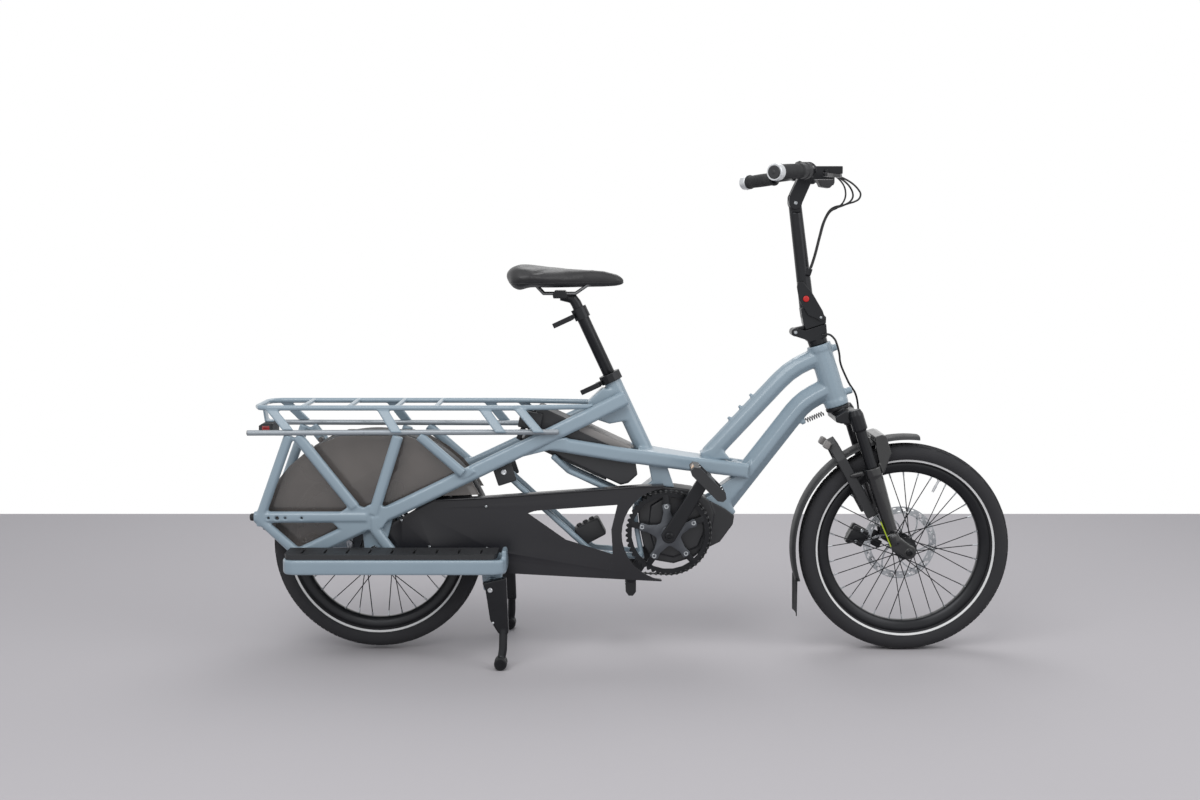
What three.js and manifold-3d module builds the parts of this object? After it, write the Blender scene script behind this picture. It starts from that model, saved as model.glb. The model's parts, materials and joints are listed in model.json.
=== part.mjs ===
import * as THREE from "three";
import { mergeVertices } from "three/addons/utils/BufferGeometryUtils.js";
import Module from "manifold-3d";

// A longtail electric cargo bicycle on its double-leg stand, in millimetres.
// +X is forward, +Z is up and the chain runs on the right, at -Y. Angles are in degrees.
// Side-view places in the tables whose names end in Shares are shares of the frame's reach and rise.

// Wheels and the ground
const wheelbase = 1275;
const tyreRadius = 254;
const tyreWidth = 60;
const tyreWall = 4;
const rearLift = 8;
const rimRadius = 206;
const rimDepth = 23;
const rimWidth = 36;
const rimWall = 4;
const wheelFacets = 28;
const spokeCount = 32;
const spokeThickness = 3;
const spokeReach = 4;
const valveDiameter = 6;
const valveLength = 34;
const discRadius = 90;
const discBand = 17;
const discThickness = 2;
const discArms = 6;
const discArmWidth = 9;

// Clearances
const weldGap = 0.3;
const runningGap = 0.5;
const slideGap = 0.4;
const overrun = 5;
const joinTolerance = 0.001;

// Steering axis and head tube
const headAngle = 17.8;
const headLength = 155;
const headDiameter = 55;
const headRingDiameter = 59;
const headRingHeight = 14;
const headBore = 44;
const forkOffset = 53.5;
const forkDrop = 379.5;
const headBossDiameter = 18;
const headBossReach = 16;

// Main tubes of the frame
const topTubeDiameter = 46;
const topTubeBend = 200;
const downTubeWidth = 48;
const downTubeDepth = 54;
const downTubeCorner = 20;
const downTubeBend = 150;
const motorLugWidth = 48;
const motorLugWall = 5;
const motorBoltDiameter = 12;
const cableBossDiameter = 9;
const cableBossHeight = 7;
const seatTubeDiameter = 42;
const seatTubeFlare = 3;
const seatPostDiameter = 30;
const seatTubeBoreDepth = 203;
const beamWidth = 20;
const beamHeight = 35;
const beamCorner = 6;
const bridgeWidth = 76;
const clusterWidth = 46;
const lowStayDiameter = 16;
const lowStaySpread = 68;
const batteryStayDiameter = 16;
const pivotSleeveDiameter = 26;
const pivotSleeveLength = 196;
const standRodDiameter = 18;

// Rear stays and side trusses
const stayWidth = 22;
const stayHeight = 36;
const stayCorner = 6;
const staySpread = 176;
const trussSpread = 184;
const trussWidth = 20;
const trussCorner = 6;
const barHeight = 27;
const dropoutSpacing = 139;
const dropoutThickness = 10.5;
const dropoutRadius = 24;
const axleDiameter = 13;
const axleNutDiameter = 24;
const axleNutLength = 8;
const lowRailHeight = 20;
const standBracketWidth = 12;

// Racks
const rackSpread = 160;
const rackTubeDiameter = 13.5;
const rackRise = 340;
const rackBend = 30;
const rackCrossDiameter = 12;
const gussetThickness = 8;
const gussetWidth = 26;
const sideRailDiameter = 14;
const sideRailSpread = 200;
const sideRailRise = 283.5;

// Footboards
const boardLength = 520;
const boardReach = 195;
const boardHeight = 36;
const boardWall = 12;
const boardRise = 36;
const boardCorner = 26;
const boardLip = 18;
const deckThickness = 11;
const deckSlotWidth = 5;
const deckSlots = 9;

// Wheel guards and mudguards
const guardRadius = 283;
const guardThickness = 2.5;
const guardSpread = 122;
const guardBossDiameter = 14;
const mudguardWidth = 66;
const mudguardWall = 2;
const mudguardCrown = 10;
const tailLightShare = [-0.251, 0.864];
const rearMudguardRadius = 282;
const frontMudguardRadius = 275;
const flapLength = 100;
const flapThickness = 3;
const flapFlareWidth = 12;

// Drive
const crankShare = 0.6325;
const crankHeight = 35;
const pitch = 12.7;
const ringTeeth = 50;
const sprocketTeeth = 18;
const toothHeight = 4;
const toothWidth = 4.6;
const chainLine = 50;
const chainHeight = 8.6;
const chainWidth = 8;
const chainPlate = 1.2;
const rollerDiameter = 7;
const spindleDiameter = 24;
const spiderArms = 5;
const spiderArmWidth = 22;
const spiderThickness = 6;
const spiderBoltCircle = 130;
const crankLength = 165;
const crankAngle = 58.5;
const crankWidth = 29;
const crankThickness = 14;
const crankSpread = 170;
const pedalLength = 104;
const pedalWidth = 88;
const pedalThickness = 26;
const pedalWall = 9;
const pedalAxleDiameter = 12;
const pedalPitch = 45;
const motorLength = 240;
const motorHeight = 180;
const motorWidth = 68;
const motorCoverWidth = 80;
const caseFace = 68;
const caseWall = 2;
const caseDepth = 23;
const caseArcRadius = 112;

// Hubs
const rearHubDiameter = 124;
const rearHubWidth = 60;
const frontHubDiameter = 30;
const frontFlangeDiameter = 54;
const hubFlangeSpread = 56;
const hubFlangeWidth = 3.5;
const frontHubWidth = 92;
const frontAxleDiameter = 14;
const rearDiscSpread = 52;
const frontDiscSpread = 42;

// Battery
const batteryLength = 283;
const batteryDepth = 90;
const batteryWidth = 90;
const batterySlope = 25.2;
const batteryChamfer = 20;
const cradleThickness = 12;
const batteryCoverDepth = 22;
const batteryGroove = 1.2;

// Saddle and seatpost
const saddleLength = 280;
const saddleHeight = 70;
const saddleWidth = 182;
const saddleNose = 40;
const saddleRailDiameter = 8;
const saddleRailSpread = 44;
const seatTilt = 25.4;
const outerPostInside = 76;
const outerPostLength = 255;
const postWall = 1.6;
const innerPostInside = 120;
const innerPostOut = 26;
const saddleClampShares = [0.399, 1.799];
const saddleBackShare = 0.546;
const collarHeight = 27;
const collarWall = 5.5;
const quickLeverLength = 46;
const quickLeverWidth = 12;
const quickLeverThickness = 7;
const quickBoltDiameter = 7;

// Fork
const steererDiameter = 28.6;
const bearingHeight = 15;
const bearingFit = 0.08;
const crownWidth = 96;
const crownFace = 0.5;
const legSpread = 130;
const legForward = 28;
const stanchionDiameter = 28;
const socketDiameter = 36;
const socketLength = 50;
const socketDrop = 63;
const stanchionReach = 262;
const lowerTopDiameter = 44;
const lowerFootDiameter = 29;
const lowerTop = 157;
const lowerFoot = 352;
const lowerBoreDepth = 330;
const forkTravel = 50;
const dropPlateWidth = 17;
const archWidth = 120;
const archPlate = 15;
const archHeight = 14;
const lockGap = 7;
const lockWall = 12;
const lockHeight = 203;
const lockTilt = 11.1;
const lockBack = 95.1;
const lockTopDrop = 76.8;
const lockShoulder = 45;
const lockBossDiameter = 14;
const lockBossDrop = 91;
const lockDepth = 24;
const caliperShares = [[-1.12, 0.2], [-1.2, 0.62], [-0.78, 0.82], [-0.5, 0.42], [-0.62, 0.12]];

// Handlepost, stem and bar
const foldBack = 46.4;
const foldRise = 46;
const baseWidth = 46;
const baseRise = 20;
const knuckleDiameter = 20;
const knuckleWidth = 18;
const foldPinDiameter = 8;
const hingeFaceRise = 43.5;
const postTilt = 7.5;
const postFootDiameter = 36;
const postHeadDiameter = 31;
const postLength = 272;
const postFootForward = 32;
const postFootRise = 36;
const postFootHeight = 40;
const latchWidth = 8;
const latchForward = 27.3;
const latchRise = 0;
const latchLength = 100;
const latchShares = [[0.04, 0.16], [-0.2, 0.56], [-0.44, 0.85], [-0.56, 0.84], [-0.58, 0.72], [-0.52, 0.4],
  [-0.3, 0.05]];
const latchPinDiameter = 7;
const catchDiameter = 15;
const catchTravel = 2.5;
const stemWidth = 36;
const stemTongue = 18;
const barForward = 28;
const barRise = 76;
const barBend = 60;
const bladeForward = 62;
const bladeDrop = 14;
const barDiameter = 22;
const barClampDiameter = 40;
const barClampWidth = 48;
const barEndSpread = 644;
const gripDiameter = 33;
const gripEndDiameter = 37;
const gripEndLength = 20;
const gripLength = 118;
const shifterLength = 36;
const shifterDiameter = 36;
const barCornerShare = 1.09;
const leverClampDiameter = 32;
const leverClampWidth = 18;
const brakeBladeLength = 92;
const brakeBladeWidth = 13;
const brakeBladeThickness = 8;
const hoseDiameter = 5;
const cableBundleDiameter = 10;
const hoseClipDiameter = 8;
const cableEntryDiameter = 15;
const cableEntryLength = 17.5;
const lampWidth = 44;
const lampSeatShare = 0.97;
const lampDepth = 43;
const lampHeight = 41;

// Stand
const standSpread = 320;
const standLegThickness = 20;
const standTubeDiameter = 21;
const standFootDiameter = 30;
const standFootWidth = 34;
const standFootSpread = 356;
const standPivotShares = [0.254, -0.226];
const standFootForward = 24;
const standLegShares = [[-0.097, 0.086], [-0.06, 0], [-0.005, -0.387], [0.097, -0.554], [0.226, -0.554],
  [0.2, 0.16]];

// Small parts
const springWireDiameter = 2.5;
const springDiameter = 13;
const springTurns = 8;
const springFootShares = [0.933, 0.89];
const springHeadShares = [0.971, 0.944];
const tailLightWidth = 76;
const tailLightHeight = 29;
const tailLightDepth = 33;
const tailLightDrop = 56.5;
const lampTabThickness = 4;
const lampTabWidth = 34;

const rad = THREE.MathUtils.degToRad;
const forward = new THREE.Vector3(1, 0, 0);
const across = new THREE.Vector3(0, 1, 0);
const up = new THREE.Vector3(0, 0, 1);
const wasm = await Module();
wasm.setup();

// Places that everything else follows
const rearAxle = [0, tyreRadius + rearLift];
const frontAxle = [wheelbase, tyreRadius];
const headTilt = rad(headAngle);
const headLow = [
  frontAxle[0] - forkOffset * Math.cos(headTilt) - forkDrop * Math.sin(headTilt),
  frontAxle[1] - forkOffset * Math.sin(headTilt) + forkDrop * Math.cos(headTilt),
];
const headFrame = new THREE.Matrix4().makeRotationY(-headTilt).setPosition(headLow[0], 0, headLow[1]);
const reach = headLow[0];
const rise = headLow[1] - rearAxle[1];
const crankAxle = [crankShare * reach, rearAxle[1] + crankHeight];

// A place in side view from its shares of reach and rise.
function spot([u, v]) {
  return [u * reach, rearAxle[1] + v * rise];
}

// A path that keeps its chosen stations as rings and holds its section's x to one side direction.
class Spine extends THREE.Curve {
  constructor(points, side, grow) {
    super();
    this.side = side;
    this.stations = points.map((point) => new THREE.Vector3(...point));
    const ways = this.stations.slice(1).map((end, i) => end.clone().sub(this.stations[i]).normalize());
    this.headings = this.stations.map((end, i) => {
      const before = ways[i - 1] ?? ways[i];
      const after = ways[i] ?? ways[i - 1];
      return before.clone().add(after).normalize();
    });
    this.stations[0].addScaledVector(ways[0], -grow);
    this.stations.at(-1).addScaledVector(ways.at(-1), grow);
  }

  getPoint(t) {
    return this.stations[Math.round(t * (this.stations.length - 1))].clone();
  }

  getPointAt(u) {
    return this.getPoint(u);
  }

  computeFrenetFrames() {
    const tangents = this.headings;
    const normals = tangents.map((t) => this.side.clone().addScaledVector(t, -this.side.dot(t)).normalize());
    const binormals = tangents.map((t, i) => t.clone().cross(normals[i]));
    return { tangents, normals, binormals };
  }
}

// A geometry as a solid, its shared corners merged and its faces turned out.
function solid(geometry) {
  const plain = geometry.index ? geometry.toNonIndexed() : geometry.clone();
  plain.deleteAttribute("normal");
  plain.deleteAttribute("uv");
  const merged = mergeVertices(plain, joinTolerance);
  const index = merged.index.array;
  const corners = [];
  for (let i = 0; i < index.length; i += 3) {
    const [a, b, c] = index.slice(i, i + 3);
    if (a !== b && b !== c && c !== a) corners.push(a, b, c);
  }
  const made = (triVerts) => new wasm.Manifold(
    new wasm.Mesh({ numProp: 3, vertProperties: merged.attributes.position.array,
      triVerts: new Uint32Array(triVerts) }),
  );
  const first = made(corners);
  if (first.volume() > 0) return first;
  return made(corners.map((_, i) => corners[i - (i % 3) + 2 - (i % 3)]));
}

function join(...solids) {
  return solids.flat().reduce((whole, piece) => whole.add(piece));
}

function cut(whole, ...tools) {
  return tools.flat().reduce((left, tool) => left.subtract(tool), whole);
}

// Sections, each of which can be grown to cut a neighbour clear.
function round(diameter, sides) {
  return (grow) => new THREE.Shape(
    Array.from({ length: sides }, (_, i) => {
      const angle = ((i + 0.5) * 2 * Math.PI) / sides;
      const radius = diameter / 2 + grow;
      return new THREE.Vector2(radius * Math.cos(angle), radius * Math.sin(angle));
    }),
  );
}

function soft(width, height, corner) {
  return (grow) => {
    const w = width / 2 + grow;
    const h = height / 2 + grow;
    const quarter = [[w, h - corner], [w - corner, h]];
    const turn = (sx, sy) => quarter.map(([x, y]) => [sx * x, sy * y]);
    const loop = [...turn(1, 1), ...turn(-1, 1).reverse(), ...turn(-1, -1), ...turn(1, -1).reverse()];
    return new THREE.Shape(loop.map(([x, y]) => new THREE.Vector2(x, y)));
  };
}

// A tube through the stations of its path.
function tube(points, section, side = across, grow = 0) {
  const path = new Spine(points, side, grow);
  return solid(new THREE.ExtrudeGeometry(section(grow), { steps: points.length - 1, extrudePath: path }));
}

function rod(from, to, diameter, sides = 12, grow = 0) {
  const way = new THREE.Vector3(...to).sub(new THREE.Vector3(...from)).normalize();
  const side = Math.abs(way.y) > 0.7 ? forward : across;
  return tube([from, to], round(diameter, sides), side, grow);
}

// A side-view place set at a width.
function at([x, z], y) {
  return [x, y, z];
}

// The corners of a path rounded to a bend radius, each in a few steps.
function bent(points, radius, steps) {
  const spots = points.map((point) => new THREE.Vector3(...point));
  const path = [spots[0]];
  for (let i = 1; i < spots.length - 1; i++) {
    const into = spots[i].clone().sub(spots[i - 1]).normalize();
    const out = spots[i + 1].clone().sub(spots[i]).normalize();
    const turn = into.angleTo(out);
    const inward = out.clone().addScaledVector(into, -out.dot(into)).normalize();
    const start = spots[i].clone().addScaledVector(into, -radius * Math.tan(turn / 2));
    for (let k = 0; k <= steps; k++) {
      const swept = (turn * k) / steps;
      path.push(start.clone()
        .addScaledVector(into, radius * Math.sin(swept))
        .addScaledVector(inward, radius * (1 - Math.cos(swept))));
    }
  }
  path.push(spots.at(-1));
  return path.map((point) => point.toArray());
}

function prism(outline, depth) {
  const shape = new THREE.Shape(outline.map(([x, y]) => new THREE.Vector2(x, y)));
  return new THREE.ExtrudeGeometry(shape, { depth, bevelEnabled: false });
}

// A flat plate: its outline and holes in side view, between two widths.
function plate(outline, from, to, holes = []) {
  const low = Math.min(from, to);
  const high = Math.max(from, to);
  const geometry = prism(outline, high - low);
  geometry.rotateX(Math.PI / 2);
  geometry.translate(0, high, 0);
  return cut(solid(geometry), holes.map((hole) => plate(hole, low - overrun, high + overrun)));
}

// A slab seen from above, between two heights.
function slab(outline, from, to, holes = []) {
  const geometry = prism(outline, to - from);
  geometry.translate(0, 0, from);
  return cut(solid(geometry), holes.map((hole) => slab(hole, from - overrun, to + overrun)));
}

// Points of an arc about a centre, from one angle to another.
function arc([x, z], radius, from, to, steps) {
  return Array.from({ length: steps + 1 }, (_, i) => {
    const angle = rad(from + ((to - from) * i) / steps);
    return [x + radius * Math.cos(angle), z + radius * Math.sin(angle)];
  });
}

function circle(centre, radius, sides) {
  return arc(centre, radius, 180 / sides, 360 + 180 / sides, sides).slice(0, sides);
}

// A profile of [radius, width] pairs turned about an axis along Y.
function turned(profile, sides, [x, z] = [0, 0], y = 0) {
  const geometry = new THREE.LatheGeometry(profile.map(([r, w]) => new THREE.Vector2(r, w)), sides);
  geometry.translate(x, y, z);
  return solid(geometry);
}

// A profile of [radius, height] pairs turned about an upright axis.
function stood(profile, sides, [x, y, z] = [0, 0, 0]) {
  const points = profile.map(([r, h]) => new THREE.Vector2(r, h));
  const geometry = new THREE.LatheGeometry(points, sides, Math.PI / sides);
  geometry.rotateX(Math.PI / 2);
  geometry.translate(x, y, z);
  return solid(geometry);
}

function closed(profile) {
  return [...profile, profile[0]];
}

function box([x0, y0, z0], [x1, y1, z1]) {
  const geometry = new THREE.BoxGeometry(x1 - x0, y1 - y0, z1 - z0);
  geometry.translate((x0 + x1) / 2, (y0 + y1) / 2, (z0 + z1) / 2);
  return solid(geometry);
}

// The same solid carried by a matrix.
function carried(made, matrix) {
  const { vertProperties, triVerts } = made.getMesh();
  const geometry = new THREE.BufferGeometry();
  geometry.setAttribute("position", new THREE.BufferAttribute(vertProperties.slice(), 3));
  geometry.setIndex(new THREE.BufferAttribute(triVerts.slice(), 1));
  geometry.applyMatrix4(matrix);
  return solid(geometry);
}

const finishes = {
  frame: new THREE.MeshStandardMaterial({ color: "#93a4b0", roughness: 0.35, metalness: 0.25 }),
  black: new THREE.MeshStandardMaterial({ color: "#17181a", roughness: 0.45, metalness: 0.3 }),
  plastic: new THREE.MeshStandardMaterial({ color: "#1b1c1e", roughness: 0.6 }),
  rubber: new THREE.MeshStandardMaterial({ color: "#202124", roughness: 0.9 }),
  smoked: new THREE.MeshStandardMaterial({ color: "#2e2f31", roughness: 0.3 }),
  steel: new THREE.MeshStandardMaterial({ color: "#a9adb1", roughness: 0.35, metalness: 0.9 }),
  red: new THREE.MeshStandardMaterial({ color: "#c21f1c", roughness: 0.4 }),
};

// A named mesh of one solid.
function mesh(name, made, finish) {
  const { vertProperties, triVerts } = made.getMesh();
  const geometry = new THREE.BufferGeometry();
  geometry.setAttribute("position", new THREE.BufferAttribute(vertProperties, 3));
  geometry.setIndex(new THREE.BufferAttribute(triVerts, 1));
  geometry.computeVertexNormals();
  const piece = new THREE.Mesh(geometry, finishes[finish]);
  piece.name = name;
  return piece;
}

function group(place, turn, ...pieces) {
  const holder = new THREE.Group();
  holder.position.set(...place);
  holder.rotation.y = turn;
  holder.add(...pieces.flat());
  return holder;
}

// Frame

// The head tube's bore, or the tube itself, in its own tilted frame.
function headTube() {
  const ring = headRingDiameter / 2;
  const wall = headDiameter / 2;
  const step = (ring - wall) * 2;
  const profile = closed([
    [headBore / 2, 0],
    [ring, 0],
    [ring, headRingHeight],
    [wall, headRingHeight + step],
    [wall, headLength - headRingHeight - step],
    [ring, headLength - headRingHeight],
    [ring, headLength],
    [headBore / 2, headLength],
  ]);
  const bossShares = [[0.165, 0.3], [0.876, 0]];
  const bosses = bossShares.map(([u, v]) => {
    const height = u * headLength;
    const tip = wall + headBossReach * (0.8 + v);
    return rod([wall - headBossReach, 0, height], [tip, 0, height], headBossDiameter, 6);
  });
  return carried(join(stood(profile, 16), ...bosses), headFrame);
}

function headCore() {
  const radius = headBore / 2;
  const profile = [[0, -overrun], [radius, -overrun], [radius, headLength + overrun],
    [0, headLength + overrun]];
  return carried(stood(profile, 16), headFrame);
}

const topTubeShares = [[0.722, 0.64], [0.901, 1.274], [0.962, 1.355]];
const downTubeShares = [[0.756, 0.3], [0.925, 1.026], [0.983, 1.127]];

function topTube(grow = 0) {
  const corners = topTubeShares.map((share) => at(spot(share), 0));
  return tube(bent(corners, topTubeBend, 3), round(topTubeDiameter, 10), across, grow);
}

function downTube(grow = 0) {
  const corners = downTubeShares.map((share) => at(spot(share), 0));
  return tube(bent(corners, downTubeBend, 3), soft(downTubeWidth, downTubeDepth, downTubeCorner), across,
    grow);
}

// Two cheeks at the down tube's foot that hold the motor's front ear.
function motorLug(grow = 0) {
  const outlineShares = [[0.713, 0.341], [0.751, 0.404], [0.781, 0.237], [0.765, 0.178], [0.733, 0.196]];
  const outline = outlineShares.map(spot);
  const outer = motorLugWidth / 2 + grow;
  const inner = motorLugWidth / 2 - motorLugWall - grow;
  return [[inner, outer], [-outer, -inner]].map(([from, to]) => plate(outline, from, to));
}

function cableBosses() {
  const [foot, corner] = topTubeShares.slice(0, 2).map(spot);
  const way = new THREE.Vector2(corner[0] - foot[0], corner[1] - foot[1]);
  const bossShares = [0.34, 0.47, 0.6];
  return bossShares.map((share) => {
    const normal = new THREE.Vector2(-way.y, way.x).normalize();
    const seat = [foot[0] + way.x * share, foot[1] + way.y * share];
    const reachOut = topTubeDiameter / 2 + cableBossHeight;
    return rod(at(seat, 0), [seat[0] + normal.x * reachOut, 0, seat[1] + normal.y * reachOut],
      cableBossDiameter, 6);
  });
}

// The lug on the down tube that holds the steering spring's foot.
function springLug() {
  const foot = new THREE.Vector3(...at(spot(springFootShares), 0));
  const way = new THREE.Vector3(...at(spot(springHeadShares), 0)).sub(foot).normalize();
  const face = foot.clone().addScaledVector(way, -springWireDiameter / 2 - weldGap);
  return rod(foot.clone().addScaledVector(way, -springDiameter).toArray(), face.toArray(), springDiameter, 8);
}

function frontFrame() {
  const whole = join(headTube(), topTube(), downTube(), ...motorLug(), ...cableBosses(), springLug());
  return cut(whole, headCore());
}

// Main stays, one straight line in side view, drawn in towards the seat tube.
const stayShares = [[0.54, 1.066], [0.456, 0.934], [0.09, 0.359], [-0.167, -0.045]];
const seatTubeShares = [[0.506, 1.214], [0.588, 0.635]];
const seatTubeTop = spot(seatTubeShares[0]);
const seatTubeFoot = spot(seatTubeShares[1]);
const seatAxis = new THREE.Vector3(
  seatTubeTop[0] - seatTubeFoot[0], 0, seatTubeTop[1] - seatTubeFoot[1],
).normalize();
const seatLean = Math.atan2(-seatAxis.x, seatAxis.z);

function stay(side, grow = 0) {
  const near = seatTubeDiameter / 2 + weldGap + stayWidth / 2;
  const widths = [near, 0.65 * staySpread / 2, staySpread / 2, staySpread / 2];
  const path = stayShares.map((share, i) => at(spot(share), side * widths[i]));
  return tube(path, soft(stayWidth, stayHeight, stayCorner), across, grow);
}

function seatTube(grow = 0) {
  return rod(at(seatTubeTop, 0), at(seatTubeFoot, 0), seatTubeDiameter, 12, grow);
}

function seatBore() {
  const top = at(seatTubeTop, 0);
  const lift = seatAxis.clone().multiplyScalar(overrun).toArray();
  const deep = seatAxis.clone().multiplyScalar(-seatTubeBoreDepth).toArray();
  const start = top.map((value, i) => value + lift[i]);
  const end = top.map((value, i) => value + deep[i]);
  return rod(start, end, seatPostDiameter + 2 * slideGap, 12);
}

const beamShares = [[0.372, 0.757], [0.528, 0.671], [0.668, 0.6], [0.806, 0.54]];
const beamWidthShares = [0.66, 0.65, 0.42, 0.32];

function beam(side, grow = 0) {
  const path = beamShares.map((share, i) => at(spot(share), side * beamWidthShares[i] * staySpread / 2));
  return tube(path, soft(beamWidth, beamHeight, beamCorner), across, grow);
}

// The sleeve that the stand turns in.
const standPivot = spot(standPivotShares);

function pivotSleeve(grow = 0) {
  const half = pivotSleeveLength / 2;
  return rod(at(standPivot, -half), at(standPivot, half), pivotSleeveDiameter, 12, grow);
}

// The strut between the beams' bridge and the top of the motor.
function motorStrut(grow = 0) {
  const signs = [[-1, 0], [1, 0], [1, -1], [-1, -1]];
  const outlineShares = [[0.586, 0.647], [0.624, 0.629], [0.646, 0.419], [0.599, 0.439]];
  const outline = outlineShares.map(spot)
    .map(([x, z], i) => [x + signs[i][0] * grow, z + signs[i][1] * grow]);
  return plate(outline, -motorWidth / 2 - grow, motorWidth / 2 + grow);
}

// A bent plate behind the motor, from the strut down to the chain stays.
function motorCradle(grow = 0) {
  const pathShares = [[0.599, 0.451], [0.575, 0.392], [0.56, 0.261], [0.565, 0.107], [0.577, -0.101]];
  const path = pathShares.map((share) => at(spot(share), 0));
  return tube(path, soft(motorWidth, cradleThickness, cradleThickness / 4), across, grow);
}

function centreFrame() {
  const bridge = plate([[0.567, 0.706], [0.668, 0.652], [0.762, 0.611], [0.762, 0.564], [0.668, 0.603],
    [0.567, 0.653]].map(spot),
    -bridgeWidth / 2, bridgeWidth / 2);
  const cluster = plate([[0.52, 1.116], [0.489, 1.128], [0.458, 1.033], [0.462, 0.92], [0.505, 0.873],
    [0.552, 0.902]].map(spot),
    -seatTubeDiameter / 2, seatTubeDiameter / 2);
  const chainStay = (side) => tube(
    bent([[0.577, -0.08], [0.469, -0.05], [0.298, -0.148], [0.254, -0.214]].map((share) => at(spot(share),
      side * lowStaySpread / 2)),
      lowStayDiameter * 3, 1),
    round(lowStayDiameter, 6),
  );
  const crossStay = rod(at(spot([0.257, 0.594]), -staySpread * 0.37), at(spot([0.257, 0.594]),
    staySpread * 0.37),
    lowStayDiameter, 8);
  const lowStay = (side) => rod(at(spot([0.257, 0.594]), side * lowStaySpread / 2),
    at(spot([0.469, -0.05]), side * lowStaySpread / 2), lowStayDiameter, 6);
  const batteryStay = (side) => tube(
    [[[0.383, 0.659], 0.62], [[0.417, 0.543], 0.38], [[0.519, 0.386], 0.33], [[0.577, 0.303], 0.33]]
      .map(([share, width]) => at(spot(share), side * width * staySpread / 2)),
    round(batteryStayDiameter, 6),
  );
  const sides = [-1, 1].flatMap((side) => [beam(side), chainStay(side), lowStay(side), batteryStay(side)]);
  const whole = join(seatTube(), bridge, cluster, crossStay, pivotSleeve(), motorStrut(), motorCradle(),
    ...sides);
  const standBore = rod(at(standPivot, -pivotSleeveLength), at(standPivot, pivotSleeveLength),
    standRodDiameter + 2 * runningGap, 12);
  return cut(whole, seatBore(), standBore, topTube(weldGap), downTube(weldGap), stay(-1, weldGap), stay(1,
    weldGap));
}

// One side's rear frame: the stay, the truss that carries the racks, and the dropout.
function truss(side) {
  const y = side * trussSpread / 2;
  const bar = (from, to, width) => tube([at(spot(from), y), at(spot(to), y)], soft(trussWidth, width,
    trussCorner));
  const upright = tube([[-0.175, 0.822], [-0.236, 0.282], [-0.239, 0.217],
    [-0.168, 0]].map((share) => at(spot(share), y)),
    soft(trussWidth, 0.9 * gussetWidth, trussCorner));
  const level = tube([at(spot([-0.254, 0.242]), y), at(spot([-0.013, 0.242]), y)],
    soft(trussWidth, barHeight, trussCorner));
  const arm = tube([[0.004, 0.246], [0.005, 0.148], [0.049, -0.053]].map((share) => at(spot(share), y)),
    soft(trussWidth, gussetWidth, trussCorner));
  const lowBar = tube([at(spot([0.041, -0.047]), y), at(spot([0.271, -0.047]), y)],
    soft(trussWidth, lowRailHeight, trussCorner));
  const bars = [
    bar([-0.158, 0.816], [-0.039, 0.312], gussetWidth),
    bar([0.056, 0.816], [0.001, 0.261], gussetWidth),
    bar([0.101, 0.819], [0.193, 0.552], 0.9 * gussetWidth),
  ];
  return [upright, level, arm, lowBar, ...bars];
}

function dropout(side) {
  const inner = side * dropoutSpacing / 2;
  const outer = side * (dropoutSpacing / 2 + dropoutThickness);
  const [x, z] = rearAxle;
  const low = arc([x, z], dropoutRadius, 190, 350, 6);
  const topShares = [[0.04, 0.22], [-0.027, 0.178]];
  const top = topShares.map(spot);
  const hole = circle([x, z], axleDiameter / 2 + weldGap, 12);
  return plate([...low, ...top], inner, outer, [hole]);
}

function standBracket(side) {
  const y = side * trussSpread / 2;
  const outlineShares = [[0.227, -0.042], [0.28, -0.042], [0.272, -0.282], [0.235, -0.282]];
  const outline = outlineShares.map(spot);
  return plate(outline, y - standBracketWidth / 2, y + standBracketWidth / 2,
    [circle(standPivot, pivotSleeveDiameter / 2 + weldGap, 12)]);
}

function barHoles(side) {
  const y = side * trussSpread / 2;
  const holeShares = [[-0.222, 0.3], [-0.204, 0.42], [-0.186, 0.3], [-0.151, 0.3]];
  return holeShares.map(([u, width]) => {
    const centre = spot([u, 0.238]);
    return rod(at(centre, y - trussWidth), at(centre, y + trussWidth), width * barHeight, 6);
  });
}

// The rear brake's housing over the disc's edge.
function rearCaliper() {
  const inner = dropoutSpacing / 2 - dropoutThickness * 1.4;
  const outlineShares = [[0.031, 0.166], [0.083, 0.113], [0.07, 0], [0.023, 0.042]];
  const outline = outlineShares.map(spot);
  const body = plate(outline, rearDiscSpread - dropoutThickness, dropoutSpacing / 2 + dropoutThickness * 1.3);
  const slot = plate(circle(rearAxle, discRadius + 3 * runningGap, 20),
    rearDiscSpread - 3 * discThickness, rearDiscSpread + 3 * discThickness);
  return cut(body, slot);
}

function rearFrame(side) {
  const pieces = [stay(side), ...truss(side), dropout(side), standBracket(side)];
  if (side > 0) pieces.push(rearCaliper());
  const rail = sideRail(side, weldGap);
  const whole = cut(join(...pieces), ...barHoles(side), rail, pivotSleeve(weldGap));
  return cut(whole, seatTube(weldGap));
}

function sideRail(side, grow = 0) {
  const z = rearAxle[1] + sideRailRise;
  const y = side * sideRailSpread / 2;
  const [back, front] = [[-0.263, 0.84], [0.397, 0.84]].map((share) => spot(share)[0]);
  return rod([back, y, z], [front, y * 0.83, z], sideRailDiameter, 8, grow);
}

// Upper rack: a loop of tube on gussets, with its front ends drawn in onto the stays.
function rackLoop() {
  const z = rearAxle[1] + rackRise;
  const y = rackSpread / 2;
  const [back, front, tip] = [[-0.248, 1.009], [0.298, 1.009], [0.469, 1.009]].map((share) => spot(share)[0]);
  const corners = [
    [tip, -y * 0.62, z],
    [front, -y, z],
    [back, -y, z],
    [back, y, z],
    [front, y, z],
    [tip, y * 0.62, z],
  ];
  return tube(bent(corners, rackBend, 2), round(rackTubeDiameter, 8), up);
}

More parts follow.
